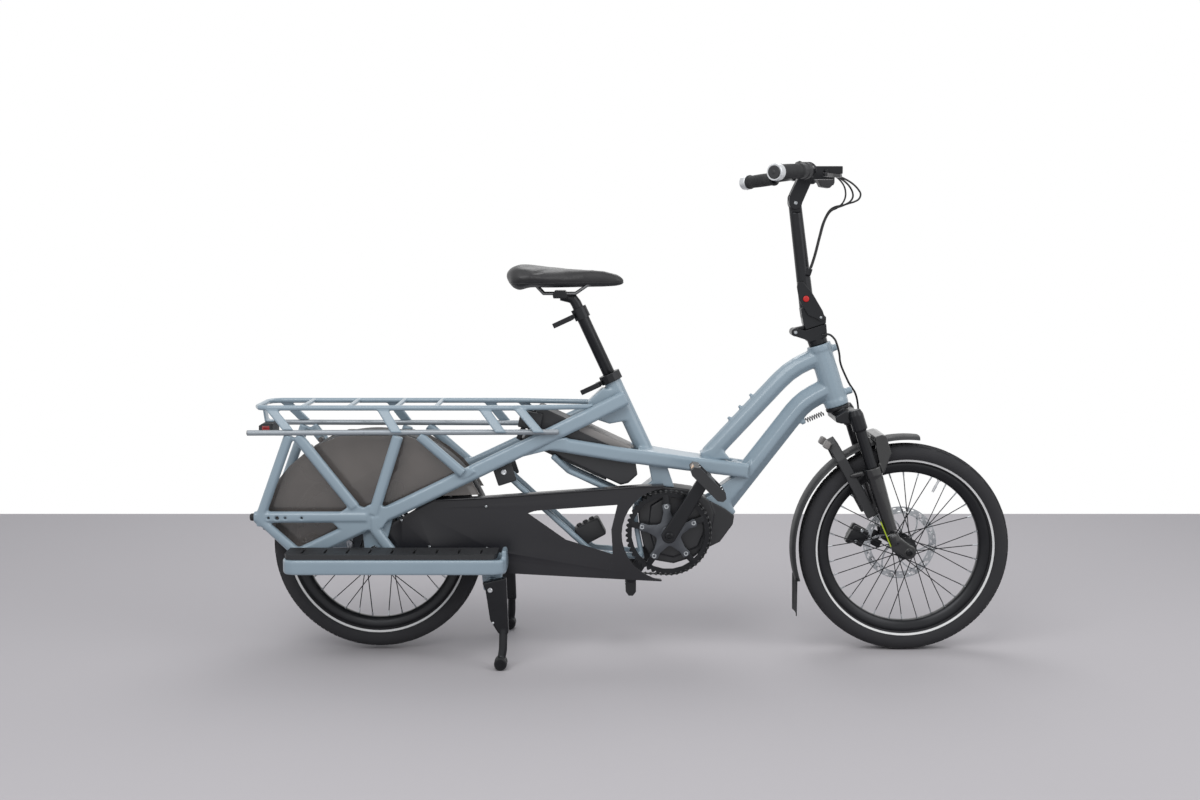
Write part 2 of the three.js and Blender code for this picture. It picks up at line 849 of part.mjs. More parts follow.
function gusset(side, top, foot) {
  const [fromX] = spot(top);
  const [toX] = spot(foot);
  const high = rearAxle[1] + rackRise;
  const low = rearAxle[1] + sideRailRise;
  const y = side * rackSpread / 2;
  const toY = side * sideRailSpread / 2;
  const lean = Math.atan2(toY - y, high - low);
  const length = Math.hypot(toY - y, high - low);
  const half = gussetWidth / 2;
  const bar = plate([[fromX - half, 0], [fromX + half, 0], [toX + half, -length], [toX - half, -length]],
    -gussetThickness / 2, gussetThickness / 2);
  return carried(bar, new THREE.Matrix4().makeRotationX(lean).setPosition(0, y, high));
}

// The tab under the rack's rear tube that carries the tail light.
function lampTab() {
  const [back] = spot(tailLightShare);
  const d = tailLightDepth;
  const t = lampTabThickness;
  const low = rearAxle[1] + rackRise - tailLightDrop + tailLightHeight / 2 + weldGap;
  const high = rearAxle[1] + rackRise;
  const outline = [[back + 0.3 * d, low], [back + 0.95 * d, low], [back + 0.95 * d, low + t],
    [back + 0.3 * d + t, low + t],
    [back + 0.12 * d + t, high], [back + 0.12 * d, high]];
  return plate(outline, -lampTabWidth / 2, lampTabWidth / 2);
}

function upperRack() {
  const z = rearAxle[1] + rackRise;
  const y = rackSpread / 2;
  const crossShares = [[-0.151, 1.009], [-0.052, 1.009], [0.05, 1.009], [0.134, 1.009]];
  const cross = crossShares.map((share) => {
    const [x] = spot(share);
    return rod([x, -y, z], [x, y, z], rackCrossDiameter, 8);
  });
  const gussets = [-1, 1].flatMap((side) => [
    gusset(side, [-0.217, 1.009], [-0.171, 0.84]),
    gusset(side, [0.02, 1.009], [0.054, 0.84]),
    gusset(side, [0.236, 1.009], [0.275, 0.84]),
    gusset(side, [0.311, 1.009], [0.356, 0.84]),
  ]);
  const whole = join(rackLoop(), ...cross, ...gussets, lampTab());
  return cut(whole, stay(-1, weldGap), stay(1, weldGap), sideRail(-1, weldGap), sideRail(1, weldGap));
}

// Footboards
function boardOutline(side, inset) {
  const inner = trussSpread / 2 + trussWidth / 2 + weldGap;
  const [back] = spot([-0.18, -0.05]);
  const front = back + boardLength - inset;
  const from = back + inset;
  const near = side * (inner + inset);
  const far = side * (boardReach - inset);
  const bite = boardCorner - inset;
  return [
    [from, near], [front, near], [front, far - side * bite], [front - 0.3 * bite, far - side * 0.3 * bite],
    [front - bite, far], [from + bite, far], [from + 0.3 * bite, far - side * 0.3 * bite],
      [from, far - side * bite],
  ];
}

function boardLevel() {
  return rearAxle[1] - boardRise;
}

function footboard(side) {
  const low = boardLevel();
  const ring = slab(boardOutline(side, 0), low, low + boardHeight, [boardOutline(side, boardWall)]);
  const [back] = spot([-0.18, -0.05]);
  const inner = side * (trussSpread / 2 + trussWidth / 2 + boardWall / 2);
  const outer = side * (boardReach - boardWall / 2);
  const ribShares = [0.25, 0.5, 0.75];
  const ribs = ribShares.map((share) => rod([back + share * boardLength, inner, low + boardHeight / 2],
    [back + share * boardLength, outer, low + boardHeight / 2], boardWall, 8));
  const front = back + boardLength;
  const lip = box(
    [front - boardWall, Math.min(inner, outer) + boardCorner / 2, low + boardHeight / 2],
    [front, Math.max(inner, outer) - boardCorner / 2, low + boardHeight + boardLip],
  );
  return join(ring, ...ribs, lip);
}

function footboardDeck(side) {
  const low = boardLevel() + boardHeight + weldGap;
  const outline = boardOutline(side, deckSlotWidth).map(([x, y], i) =>
    (i > 0 && i < 5 ? [x - boardWall - deckSlotWidth, y] : [x, y]));
  const [back] = spot([-0.18, -0.05]);
  const slots = Array.from({ length: deckSlots }, (_, i) => {
    const x = back + (boardLength * (i + 0.8)) / (deckSlots + 1);
    const from = side * (trussSpread / 2 + trussWidth / 2 + boardWall * 2);
    const to = side * (boardReach - boardWall * 2);
    return [[x, from], [x + deckSlotWidth, from], [x + deckSlotWidth, to], [x, to]];
  });
  return slab(outline, low, low + deckThickness, slots);
}

// Smoked panels between the luggage and the rear wheel, on stand-offs under the truss.
function wheelGuard(side) {
  const inner = side * guardSpread / 2;
  const outer = side * (guardSpread / 2 + guardThickness);
  const disc = plate(circle(rearAxle, guardRadius, 36), inner, outer);
  const above = plate([[-0.298, 0.804], [0.298, 0.804], [0.298, 1.122],
    [-0.298, 1.122]].map(spot), inner - overrun, outer + overrun);
  const below = plate([[-0.298, -0.251], [0, 0.218], [0.036, 0.234], [0.083, 0.309], [0.125, 0.374],
    [0.298, 0.395], [0.298, -1.253],
    [-0.298, -1.253]].map(spot),
    inner - overrun, outer + overrun);
  const seat = side * (trussSpread / 2 - trussWidth / 2 - weldGap);
  const bossesShares = [[-0.135, 0.727], [-0.065, 0.424], [0.051, 0.766], [0.016, 0.419]];
  const bosses = bossesShares.map((share) =>
    rod(at(spot(share), inner), at(spot(share), seat), guardBossDiameter, 6));
  return join(cut(disc, above, below), ...bosses);
}

// Mudguards

// A shallow channel bent round a wheel.
function mudguardSection() {
  const w = mudguardWidth / 2;
  const outerShares = [[1, -0.9], [0.7, 0.05], [-0.7, 0.05], [-1, -0.9]];
  const outer = outerShares.map(([u, v]) => [u * w, v * mudguardCrown]);
  const inner = outerShares.map(([u, v]) => [u * (w - mudguardWall),
    v * mudguardCrown - mudguardWall]).reverse();
  return () => new THREE.Shape([...outer, ...inner].map(([x, y]) => new THREE.Vector2(x, y)));
}

function mudguard(centre, radius, from, to, steps) {
  return tube(arc(centre, radius, from, to, steps).map((place) => at(place, 0)), mudguardSection());
}

function rearMudguard() {
  const guard = mudguard(rearAxle, rearMudguardRadius, 172, 24, 14);
  const [x, z] = rearAxle;
  const stub = rearMudguardRadius - mudguardWall;
  const tabs = [35, 118].map((angle) => {
    const way = [Math.cos(rad(angle)), Math.sin(rad(angle))];
    const inner = [x + stub * way[0], z + stub * way[1]];
    return rod(at(inner, -guardSpread / 2 + weldGap), at(inner, guardSpread / 2 - weldGap),
      pedalAxleDiameter * 0.6, 8);
  });
  return join(guard, ...tabs);
}

function frontMudguard() {
  const centre = [forkOffset, -forkDrop];
  const start = 180 + 14;
  const guard = mudguard(centre, frontMudguardRadius, start, 66, 14);
  const [x, z] = arc(centre, frontMudguardRadius - mudguardCrown / 2, start, start, 1)[0];
  const half = mudguardWidth / 2;
  const tilt = Math.sin(headTilt) * flapLength;
  const drop = Math.cos(headTilt) * flapLength;
  const flap = slab([[-half, 0], [half, 0], [half + flapFlareWidth / 2, flapLength],
    [-half - flapFlareWidth / 2, flapLength]],
    -flapThickness / 2, flapThickness / 2);
  const hang = new THREE.Matrix4().makeBasis(
    across.clone(),
    new THREE.Vector3((tilt + flapFlareWidth) / flapLength, 0, -drop / flapLength).normalize(),
    new THREE.Vector3(-drop / flapLength, 0, -(tilt + flapFlareWidth) / flapLength).normalize(),
  );
  hang.setPosition(x, 0, z + flapFlareWidth);
  return join(guard, carried(flap, hang));
}

// Wheels

function tyre() {
  const half = tyreWidth / 2;
  const bead = rimRadius + weldGap;
  const depth = tyreRadius - bead;
  const seat = rimWidth / 2 - rimWall - weldGap;
  const outerShares = [[1, 0.38], [0.86, 0.78], [0.45, 0.97], [0, 1]];
  const innerShares = [[0, 0.88], [0.82, 0.5]];
  const side = (shares, sign) => shares.map(([u, v]) => [bead + v * depth, sign * u * half]);
  const root = rimRadius - 2 * rimWall;
  const inner = seat - tyreWall;
  const profile = [
    [root, seat],
    [bead, seat],
    ...side(outerShares, 1),
    ...side(outerShares.slice(0, -1).reverse(), -1),
    [bead, -seat],
    [root, -seat],
    [root, -inner],
    ...side(innerShares.slice().reverse(), -1).slice(0, -1),
    ...side(innerShares, 1),
    [root, inner],
  ];
  return turned(closed(profile), wheelFacets);
}

function rim() {
  const half = rimWidth / 2;
  const outer = rimRadius;
  const bed = rimRadius - 2 * rimWall - weldGap;
  const inner = rimRadius - rimDepth;
  const profile = [
    [inner, -half / 2], [outer, -half], [outer, rimWall - half],
    [bed, rimWall - half], [bed, half - rimWall],
    [outer, half - rimWall], [outer, half], [inner, half / 2],
  ];
  return turned(closed(profile), wheelFacets);
}

// Crossed spokes from a hub's flanges to the rim.
function spokes(flangeRadius, lead) {
  const outer = rimRadius - rimDepth + spokeReach;
  return Array.from({ length: spokeCount }, (_, k) => {
    const side = k % 2 ? -1 : 1;
    const leads = k % 4 < 2;
    const shift = side * (leads ? spokeThickness : -spokeThickness) * 0.6;
    const rimTurn = (k + 0.5) * (2 * Math.PI / spokeCount);
    const hubTurn = rimTurn + rad(leads ? lead : -lead);
    const y = side * hubFlangeSpread / 2 + shift;
    const from = [flangeRadius * Math.cos(hubTurn), y, flangeRadius * Math.sin(hubTurn)];
    const to = [outer * Math.cos(rimTurn), side * spokeReach + shift, outer * Math.sin(rimTurn)];
    return tube([from, to], round(spokeThickness, 3));
  });
}

function brakeDisc(spread, hubRadius) {
  const y = spread;
  const inner = discRadius - discBand;
  const windows = Array.from({ length: discArms }, (_, k) => {
    const middle = (360 * (k + 0.5)) / discArms;
    const half = 180 / discArms;
    const outerTrim = (discArmWidth / inner) * (90 / Math.PI);
    const core = hubRadius + discArmWidth;
    const innerTrim = (discArmWidth / core) * (90 / Math.PI);
    return [
      ...arc([0, 0], inner, middle - half + outerTrim, middle + half - outerTrim, 3),
      ...arc([0, 0], core, middle + half - innerTrim, middle - half + innerTrim, 1),
    ];
  });
  const bore = circle([0, 0], hubRadius - discThickness, 12);
  return plate(circle([0, 0], discRadius, 24), y - discThickness / 2, y + discThickness / 2, [bore,
    ...windows]);
}

function valve() {
  const outer = rimRadius - rimDepth + rimWall;
  return rod([outer * Math.cos(rad(45)), 0, outer * Math.sin(rad(45))],
    [(outer - valveLength) * Math.cos(rad(45)), 0, (outer - valveLength) * Math.sin(rad(45))],
      valveDiameter, 8);
}

function frontWheel() {
  const flange = frontFlangeDiameter / 2;
  const bore = frontAxleDiameter / 2 + runningGap;
  const core = frontHubDiameter / 2;
  const half = frontHubWidth / 2;
  const edge = hubFlangeSpread / 2 + hubFlangeWidth / 2;
  const inset = hubFlangeSpread / 2 - hubFlangeWidth / 2;
  const profile = [
    [bore, -half], [core * 0.8, -half], [core, -edge], [flange, -edge], [flange, -inset],
      [core, -inset * 0.8],
    [core, inset * 0.8], [flange, inset], [flange, edge], [core * 1.3, edge], [core * 1.3, frontDiscSpread],
    [core * 0.8, frontDiscSpread + discThickness], [core * 0.8, half], [bore, half],
  ];
  const hub = turned(closed(profile), 12);
  return join(hub, ...spokes(flange - hubFlangeWidth, 58), rim(), valve(), brakeDisc(frontDiscSpread,
    core * 1.3));
}

// The rear wheel turns on a large gear hub with a fluted shell.
function rearWheel() {
  const shell = rearHubDiameter / 2;
  const bore = axleDiameter / 2 + runningGap;
  const half = rearHubWidth / 2;
  const driverEdge = -chainLine + toothWidth + runningGap * 2;
  const neck = sprocketRadius * 0.6;
  const profile = [
    [bore, driverEdge], [neck, driverEdge], [neck, -half * 1.2], [shell * 0.8, -half], [shell, -half],
    [shell, -half * 0.75], [shell * 0.92, -half * 0.6], [shell * 0.96, 0],
    [shell * 0.92, half * 0.6], [shell, half * 0.75],
    [shell, half], [shell * 0.8, half], [neck, half * 1.2], [neck, rearDiscSpread + discThickness / 2],
    [bore, rearDiscSpread + discThickness / 2],
  ];
  const hub = turned(closed(profile), 14);
  return join(hub, ...spokes(shell - hubFlangeWidth, 22), rim(), valve(), brakeDisc(rearDiscSpread, neck));
}

// Drive

const sprocketRadius = pitch / (2 * Math.sin(Math.PI / sprocketTeeth));
const ringRadius = pitch / (2 * Math.sin(Math.PI / ringTeeth));

// A toothed outline, four points to a tooth.
function toothed(count, radius, turn = 0) {
  const root = radius - toothHeight;
  const tip = radius + toothHeight * 0.45;
  const toothShares = [[0, 0], [0.35, 1], [0.65, 1]];
  return Array.from({ length: count }, (_, k) => toothShares.map(([share, high]) => {
    const angle = turn + ((k + share) * 2 * Math.PI) / count;
    const r = high ? tip : root;
    return [r * Math.cos(angle), r * Math.sin(angle)];
  })).flat();
}

function sprocket() {
  const bore = circle([0, 0], axleDiameter / 2 + runningGap, 14);
  const teeth = plate(toothed(sprocketTeeth, sprocketRadius), -chainLine - toothWidth / 2,
    -chainLine + toothWidth / 2,
    [bore]);
  const carrier = plate(circle([0, 0], sprocketRadius * 0.52, 18), -chainLine - toothWidth * 1.6,
    -chainLine + toothWidth / 2, [bore]);
  return join(teeth, carrier);
}

function chainring() {
  const face = spiderThickness / 2;
  const inner = ringRadius - toothHeight * 3.2;
  const ring = plate(toothed(ringTeeth, ringRadius), -chainLine - toothWidth / 2, -chainLine + toothWidth / 2,
    [circle([0, 0], inner, 24)]);
  const bolt = spiderBoltCircle / 2;
  const arms = Array.from({ length: spiderArms }, (_, k) => {
    const angle = rad(crankAngle) + (2 * Math.PI * (k + 0.5)) / spiderArms;
    const side = [-Math.sin(angle), Math.cos(angle)];
    const point = (r, w) => [r * Math.cos(angle) + w * side[0], r * Math.sin(angle) + w * side[1]];
    const root = spiderArmWidth * 0.8;
    const tip = spiderArmWidth * 0.38;
    const outline = [
      point(0, -root), point(bolt, -tip), point(inner + toothHeight, -tip * 0.8),
      point(inner + toothHeight, tip * 0.8), point(bolt, tip), point(0, root),
    ];
    return plate(outline, -chainLine - face, -chainLine + face);
  });
  const bolts = Array.from({ length: spiderArms }, (_, k) => {
    const angle = rad(crankAngle) + (2 * Math.PI * (k + 0.5)) / spiderArms;
    const place = [bolt * Math.cos(angle), bolt * Math.sin(angle)];
    return rod(at(place, -chainLine + face), at(place, -chainLine - 2 * face), motorBoltDiameter, 6);
  });
  const hub = plate(circle([0, 0], spindleDiameter * 1.25, 16), -chainLine - 2 * face, -chainLine + face);
  const bore = plate(circle([0, 0], spindleDiameter / 2 + weldGap, 16), -chainLine - overrun * 2,
    -chainLine + overrun * 2);
  return cut(join(ring, ...arms, ...bolts, hub), bore);
}

// The chain: two rows of side plates round both wheels, with rollers on its straight runs.
function chain() {
  const away = Math.hypot(crankAxle[0] - rearAxle[0], crankAxle[1] - rearAxle[1]);
  const lean = Math.atan2(crankAxle[1] - rearAxle[1], crankAxle[0] - rearAxle[0]);
  const open = Math.asin((ringRadius - sprocketRadius) / away);
  const deg = 180 / Math.PI;
  const loop = (offset) => [
    ...arc(crankAxle, ringRadius + offset, (lean - open) * deg - 90, (lean + open) * deg + 90, 16),
    ...arc(rearAxle, sprocketRadius + offset, (lean + open) * deg + 90, (lean - open) * deg + 270, 7),
  ];
  const half = chainHeight / 2;
  const rows = [-1, 1].map((side) => {
    const outer = -chainLine + (side * chainWidth) / 2;
    return plate(loop(half), outer, outer - side * chainPlate, [loop(-half)]);
  });
  const run = Math.sqrt(away ** 2 - (ringRadius - sprocketRadius) ** 2);
  const clearShare = 0.06;
  const count = Math.floor(run / pitch / 8);
  const rollers = [1, -1].flatMap((top) => Array.from({ length: count }, (_, k) => {
    const angle = lean + top * (open + Math.PI / 2);
    const start = [rearAxle[0] + sprocketRadius * Math.cos(angle),
      rearAxle[1] + sprocketRadius * Math.sin(angle)];
    const end = [crankAxle[0] + ringRadius * Math.cos(angle), crankAxle[1] + ringRadius * Math.sin(angle)];
    const share = clearShare + ((1 - 2 * clearShare) * (k + 0.5)) / count;
    const place = [start[0] + (end[0] - start[0]) * share, start[1] + (end[1] - start[1]) * share];
    const reachAcross = chainWidth / 2 - chainPlate / 2;
    return rod(at(place, -chainLine - reachAcross), at(place, -chainLine + reachAcross), rollerDiameter, 6);
  }));
  return join(...rows, ...rollers);
}

// A crank arm from the spindle to the pedal, along its own x.
function crankArm(side) {
  const inner = side * (crankSpread / 2 - crankThickness / 2);
  const outer = side * (crankSpread / 2 + crankThickness / 2);
  const root = crankWidth * 0.62;
  const tip = crankWidth * 0.5;
  const outline = [
    ...arc([crankLength, 0], tip, -80, 80, 6),
    ...arc([0, 0], root, 75, 285, 8),
  ];
  const eye = rod([crankLength, inner - side * runningGap, 0], [crankLength, outer + side * runningGap, 0],
    pedalAxleDiameter + runningGap * 2, 10);
  const arm = cut(plate(outline, inner, outer), eye);
  if (side > 0) {
    const seat = rod([0, inner - side * overrun, 0], [0, outer + side * overrun, 0],
      spindleDiameter + 2 * weldGap, 16);
    return cut(arm, seat);
  }
  const spindle = rod([0, outer + crankThickness / 2, 0], [0, crankSpread / 2 + crankThickness / 2, 0],
    spindleDiameter, 16);
  return join(arm, spindle);
}

// A platform pedal: an open cage about its axle.
function pedal(side) {
  const inner = crankSpread / 2 + crankThickness / 2 + pedalWall;
  const from = side * inner;
  const to = side * (inner + pedalWidth);
  const l = pedalLength / 2;
  const h = pedalThickness / 2;
  const outline = [[l, -h * 0.4], [l, h * 0.4], [l * 0.8, h], [-l * 0.8, h], [-l, h * 0.4], [-l, -h * 0.4],
    [-l * 0.8, -h], [l * 0.8, -h]];
  const window = (sign) => {
    const x0 = sign * (pedalAxleDiameter * 0.9);
    const x1 = sign * (l - pedalWall * 1.2);
    return box([Math.min(x0, x1), Math.min(from, to) + pedalWall, -h - overrun],
      [Math.max(x0, x1), Math.max(from, to) - pedalWall, h + overrun]);
  };
  const cage = cut(plate(outline, from, to), window(1), window(-1));
  const pin = rod([0, side * (crankSpread / 2 - crankThickness * 0.4), 0], [0, from + side * pedalWall / 2,
    0],
    pedalAxleDiameter, 10);
  return join(cage, pin);
}

function motor() {
  const place = (shares) => shares.map(([u, v]) => [crankAxle[0] + u * motorLength,
    crankAxle[1] + v * motorHeight]);
  const bodyShares = [[-0.279, 0.017], [-0.304, 0.294], [-0.237, 0.528], [-0.046, 0.617], [0.246, 0.561],
    [0.412, 0.417], [0.463, 0.239],
    [0.438, 0.017], [0.396, -0.194], [0.267, -0.35], [0.058, -0.439], [-0.138, -0.394], [-0.246, -0.194]];
  const coverShares = [[-0.192, 0.072], [-0.171, 0.35], [-0.004, 0.489], [0.225, 0.45], [0.338, 0.294],
    [0.362, 0.017],
    [0.296, -0.194], [0.058, -0.339], [-0.121, -0.283]];
  const noseShares = [[0.412, 0.417], [0.571, 0.306], [0.667, 0.211], [0.654, 0.089], [0.525, -0.15],
    [0.371, -0.25]];
  const body = plate(place(bodyShares), -motorWidth / 2, motorWidth / 2);
  const covers = plate(place(coverShares), -motorCoverWidth / 2, motorCoverWidth / 2);
  const nose = plate(place(noseShares), -motorWidth * 0.42, motorWidth * 0.42);
  const ear = rod(at(spot([0.741, 0.252]), -motorWidth * 0.26), at(spot([0.741, 0.252]), motorWidth * 0.26),
    motorBoltDiameter * 2.4, 12);
  const bore = plate(circle(crankAxle, spindleDiameter / 2 + runningGap, 16), -motorCoverWidth,
    motorCoverWidth);
  const stays = [-1, 1].flatMap((side) => [
    tube([[0.577, -0.08], [0.469, -0.05]].map((share) => at(spot(share), side * lowStaySpread / 2)),
      round(lowStayDiameter, 6), across, weldGap),
    tube([[0.519, 0.386], [0.577, 0.303]].map((share) => at(spot(share), side * 0.33 * staySpread / 2)),
      round(batteryStayDiameter, 6), across, weldGap),
  ]);
  return cut(join(body, covers, nose, ear), bore, motorStrut(weldGap), motorCradle(weldGap),
    downTube(weldGap), ...motorLug(weldGap), ...stays);
}

// The chain case: a face with a window and flanged long edges, open at its back and at both wheels.
function chainCase() {
  const face = -caseFace;
  const inner = face + caseWall;
  const ringArc = arc(crankAxle, caseArcRadius, 96, 262, 16);
  const outline = [
    ...[[0.621, 0.457], [0.57, 0.451], [0.228, 0.368], [0.126, 0.353], [0.088, 0.285], [0.017, 0.14],
      [0.058, -0.009], [0.074, -0.141], [0.282, -0.175],
      [0.617, -0.237]].map(spot),
    ...ringArc.slice().reverse(),
  ];
  const windowShares = [[0.33, 0.255], [0.411, 0.065], [0.512, -0.039], [0.509, 0.137], [0.522, 0.315],
    [0.346, 0.273]];
  const window = windowShares.map(spot);
  const front = plate(outline, face, inner, [window]);
  const topShares = [[0.621, 0.457], [0.57, 0.451], [0.228, 0.368], [0.126, 0.353], [0.088, 0.285]];
  const lowShares = [[0.074, -0.141], [0.282, -0.175], [0.617, -0.237]];
  const band = (shares, drop) => {
    const line = shares.map(spot);
    const back = line.slice().reverse().map(([x, z]) => [x, z + drop]);
    return plate([...line, ...back], face, face + caseDepth);
  };
  const screwsShares = [[0.058, 0.208], [0.117, 0.015], [0.24, 0.306], [0.241, 0.003]];
  const screws = screwsShares.map((share) =>
    rod(at(spot(share), face + caseWall / 2), at(spot(share), face - caseWall), caseDepth / 3, 8));
  const boltPlace = spot([0.027, 0.137]);
  const dropoutBolt = rod(at(boltPlace, inner), at(boltPlace, weldGap - dropoutSpacing / 2), caseDepth / 2,
    8);
  return join(front, band(topShares, -caseWall), band(lowShares, caseWall), ...screws, dropoutBolt);
}

// Battery, laid along the slope between seat tube and stays. Its own x runs down the slope.
const batteryShares = [[0.551, 0.706], [0.354, 1.012]];

function battery() {
  const l = batteryLength;
  const d = batteryDepth;
  const half = batteryWidth / 2;
  const outlineShares = [[0.02, 0], [0.885, 0], [0.94, -0.28], [1, -0.56], [0.96, -0.87], [0.91, -1],
    [0.03, -1],
    [0, -0.94], [0, -0.06]];
  const outline = outlineShares.map(([u, v]) => [u * l, v * d]);
  const whole = plate(outline, -half, half);
  const edge = batteryCoverDepth;
  const grooves = [-1, 1].map((side) => box(
    [-overrun, Math.min(side * half, side * (half - batteryGroove)) - (side < 0 ? overrun : 0),
      -edge - batteryGroove],
    [l + overrun, Math.max(side * half, side * (half - batteryGroove)) + (side > 0 ? overrun : 0), -edge],
  ));
  const top = spot(batteryShares[1]);
  const place = new THREE.Matrix4().makeRotationY(rad(batterySlope)).setPosition(top[0], 0, top[1]);
  const laid = carried(cut(whole, ...grooves), place);
  return cut(laid, seatTube(weldGap * 2), beam(-1, weldGap), beam(1, weldGap));
}

// The holder under the battery: a rail with an upturned catch at its upper end.
function batteryRail() {
  const l = batteryLength;
  const d = batteryDepth + weldGap;
  const half = batteryWidth * 0.36;
  const outline = [[-l * 0.02, -d * 0.2], [-l * 0.02, -d], [l * 0.78, -d], [l * 0.78, -d - beamCorner],
    [-l * 0.06, -d - beamCorner], [-l * 0.06, -d * 0.2]];
  const top = spot(batteryShares[1]);
  const place = new THREE.Matrix4().makeRotationY(rad(batterySlope)).setPosition(top[0], 0, top[1]);
  return carried(plate(outline, -half, half), place);
}

function tailLight() {
  const z = rearAxle[1] + rackRise - tailLightDrop;
  const [back] = spot(tailLightShare);
  const half = tailLightWidth / 2;
  const h = tailLightHeight / 2;
  const d = tailLightDepth;
  const outline = [[back, z + h * 0.6], [back + d * 0.3, z + h], [back + d, z + h], [back + d, z - h],
    [back + d * 0.3, z - h],
    [back, z - h * 0.6]];
  return plate(outline, -half, half);
}

// Seatpost and saddle, in a frame whose z runs up the post from the seat tube's top.
// Seatpost: the outer post slides in the seat tube, the inner one in the outer.
function seatCollar() {
  const inner = seatTubeDiameter / 2 + weldGap;
  const outer = inner + collarWall;
  const low = -collarHeight * 0.55;
  const lip = weldGap;
  const ring = stood(closed([[inner, low], [outer, low], [outer, lip + collarWall],
    [seatPostDiameter / 2 + slideGap,
    lip + collarWall], [seatPostDiameter / 2 + slideGap, lip], [inner, lip]]), 12);
  return join(ring, collarLugs(outer, (low + lip) / 2));
}

// Two lugs behind a collar, with the bolt that its lever turns on.
function collarLugs(outer, height) {
  const reachBack = quickBoltDiameter * 1.9;
  const h = quickLeverWidth * 0.42;
  const lugs = box([-outer - reachBack, -collarHeight * 0.4, height - h],
    [-outer + collarWall * 0.6, collarHeight * 0.4, height + h]);
  const slot = box([-outer - reachBack - overrun, -runningGap, height - h - overrun],
    [-outer - weldGap / 3, runningGap, height + h + overrun]);
  return cut(lugs, slot);
}

// A cam lever that lies along its collar, turning on an upright pin at its bolt's end.
function quickLever() {
  const r = quickBoltDiameter * 0.9;
  const t = quickLeverThickness / 2;
  const l = quickLeverLength;
  const outline = [[-l, -t * 0.6], [-l, t * 0.6], [-l * 0.4, t], [0, r], [r, 0], [0, -r],
    [-l * 0.4, -t * 1.4]];
  return slab(outline, -quickLeverWidth / 2, quickLeverWidth / 2);
}

function outerPost() {
  const r = seatPostDiameter / 2;
  const bore = r - postWall;
  const top = outerPostLength - outerPostInside;
  const tubeProfile = closed([[bore, -outerPostInside], [r, -outerPostInside], [r, top], [bore, top]]);
  const outer = r + collarWall * 0.8;
  const collarLow = top - collarHeight;
  const collar = stood(closed([[r - postWall / 2, collarLow], [outer, collarLow], [outer, top + weldGap],
    [r - postWall / 2, top + weldGap]]), 12);
  return join(stood(tubeProfile, 12), collar, collarLugs(outer, top - collarHeight / 2));
}

// The saddle's clamp, carried from its place over the seat tube into the post's own frame.
function saddleClamp() {
  const [x, z] = spot(saddleClampShares);
  const dx = x - seatTubeTop[0];
  const dz = z - seatTubeTop[1];
  return [dx * Math.cos(seatLean) + dz * Math.sin(seatLean), 0,
    dz * Math.cos(seatLean) - dx * Math.sin(seatLean)];
}

// The saddle's two rails, about the clamp: they meet under the nose and end in the shell at the back.
function saddleRails(grow = 0) {
  const half = saddleRailSpread / 2;
  const railShares = [[-0.21, 0.3, 0.9], [-0.14, 0, 1], [0.13, 0, 1], [0.24, 0.3, 0.72], [0.4, 0.42, 0.3]];
  const rail = (side) => tube(
    railShares.map(([u, v, w]) => [u * saddleLength, side * w * half, v * saddleHeight]),
    round(saddleRailDiameter, 6), across, grow,
  );
  const [first, last] = [railShares[0], railShares.at(-1)].map(([u, v, w]) =>
    rod([u * saddleLength, -w * half, v * saddleHeight], [u * saddleLength, w * half, v * saddleHeight],
      saddleRailDiameter, 6, grow));
  return join(rail(-1), rail(1), first, last);
}

// The inner post with its bent head and the clamp that holds the saddle's rails.
function innerPost() {
  const r = seatPostDiameter / 2 - postWall - slideGap;
  const top = outerPostLength - outerPostInside;
  const headHeight = top + innerPostOut;
  const [cx, , cz] = saddleClamp();
  const path = [[0, 0, top - innerPostInside], [0, 0, headHeight - r], [-r * 0.2, 0, headHeight],
    [cx, 0, cz - r * 0.4]];
  const post = tube(path, round(2 * r, 12));
  const half = saddleRailSpread / 2 + saddleRailDiameter * 0.8;
  const w = saddleRailDiameter * 2;
  const place = new THREE.Matrix4().makeRotationY(seatLean).setPosition(cx, 0, cz);
  const clamp = plate([[-w, -w * 0.7], [w, -w * 0.7], [w * 1.1, -w * 0.2], [w * 0.8, w * 0.45],
    [-w * 0.8, w * 0.45],
    [-w * 1.1, -w * 0.2]], -half, half);
  return join(post, cut(carried(clamp, place), carried(saddleRails(weldGap), place)));
}

// A closed skin through rings of as many points each.
function loft(rings) {
  const count = rings[0].length;
  const corners = rings.flat(2);
  const index = [];
  for (let i = 0; i + 1 < rings.length; i++) {
    for (let k = 0; k < count; k++) {
      const a = i * count + k;
      const b = i * count + ((k + 1) % count);
      index.push(a, b, a + count, b, b + count, a + count);
    }
  }
  const end = (rings.length - 1) * count;
  for (let k = 1; k + 1 < count; k++) index.push(0, k + 1, k, end, end + k, end + k + 1);
  const geometry = new THREE.BufferGeometry();
  geometry.setAttribute("position", new THREE.Float32BufferAttribute(corners, 3));
  geometry.setIndex(index);
  return solid(geometry);
}

// The saddle: place along its length, half width, top and bottom, as shares of its sizes.
const saddleShares = [
  [0, 0.42, 0.72, 0.5],
  [0.05, 0.8, 0.92, 0.22],
  [0.11, 0.95, 1, 0.1],
  [0.2, 1, 0.95, 0.22],
  [0.36, 0.8, 0.86, 0.2],
  [0.5, 0.5, 0.83, 0.2],
  [0.66, 0.3, 0.83, 0.21],
  [0.82, 0.24, 0.8, 0.22],
  [0.94, 0.21, 0.66, 0.25],
  [1, 0.1, 0.5, 0.3],
];
const saddleRingShares = [[0, 0.98], [0.45, 1], [0.8, 0.86], [1, 0.5], [0.88, 0.16], [0.5, 0]];

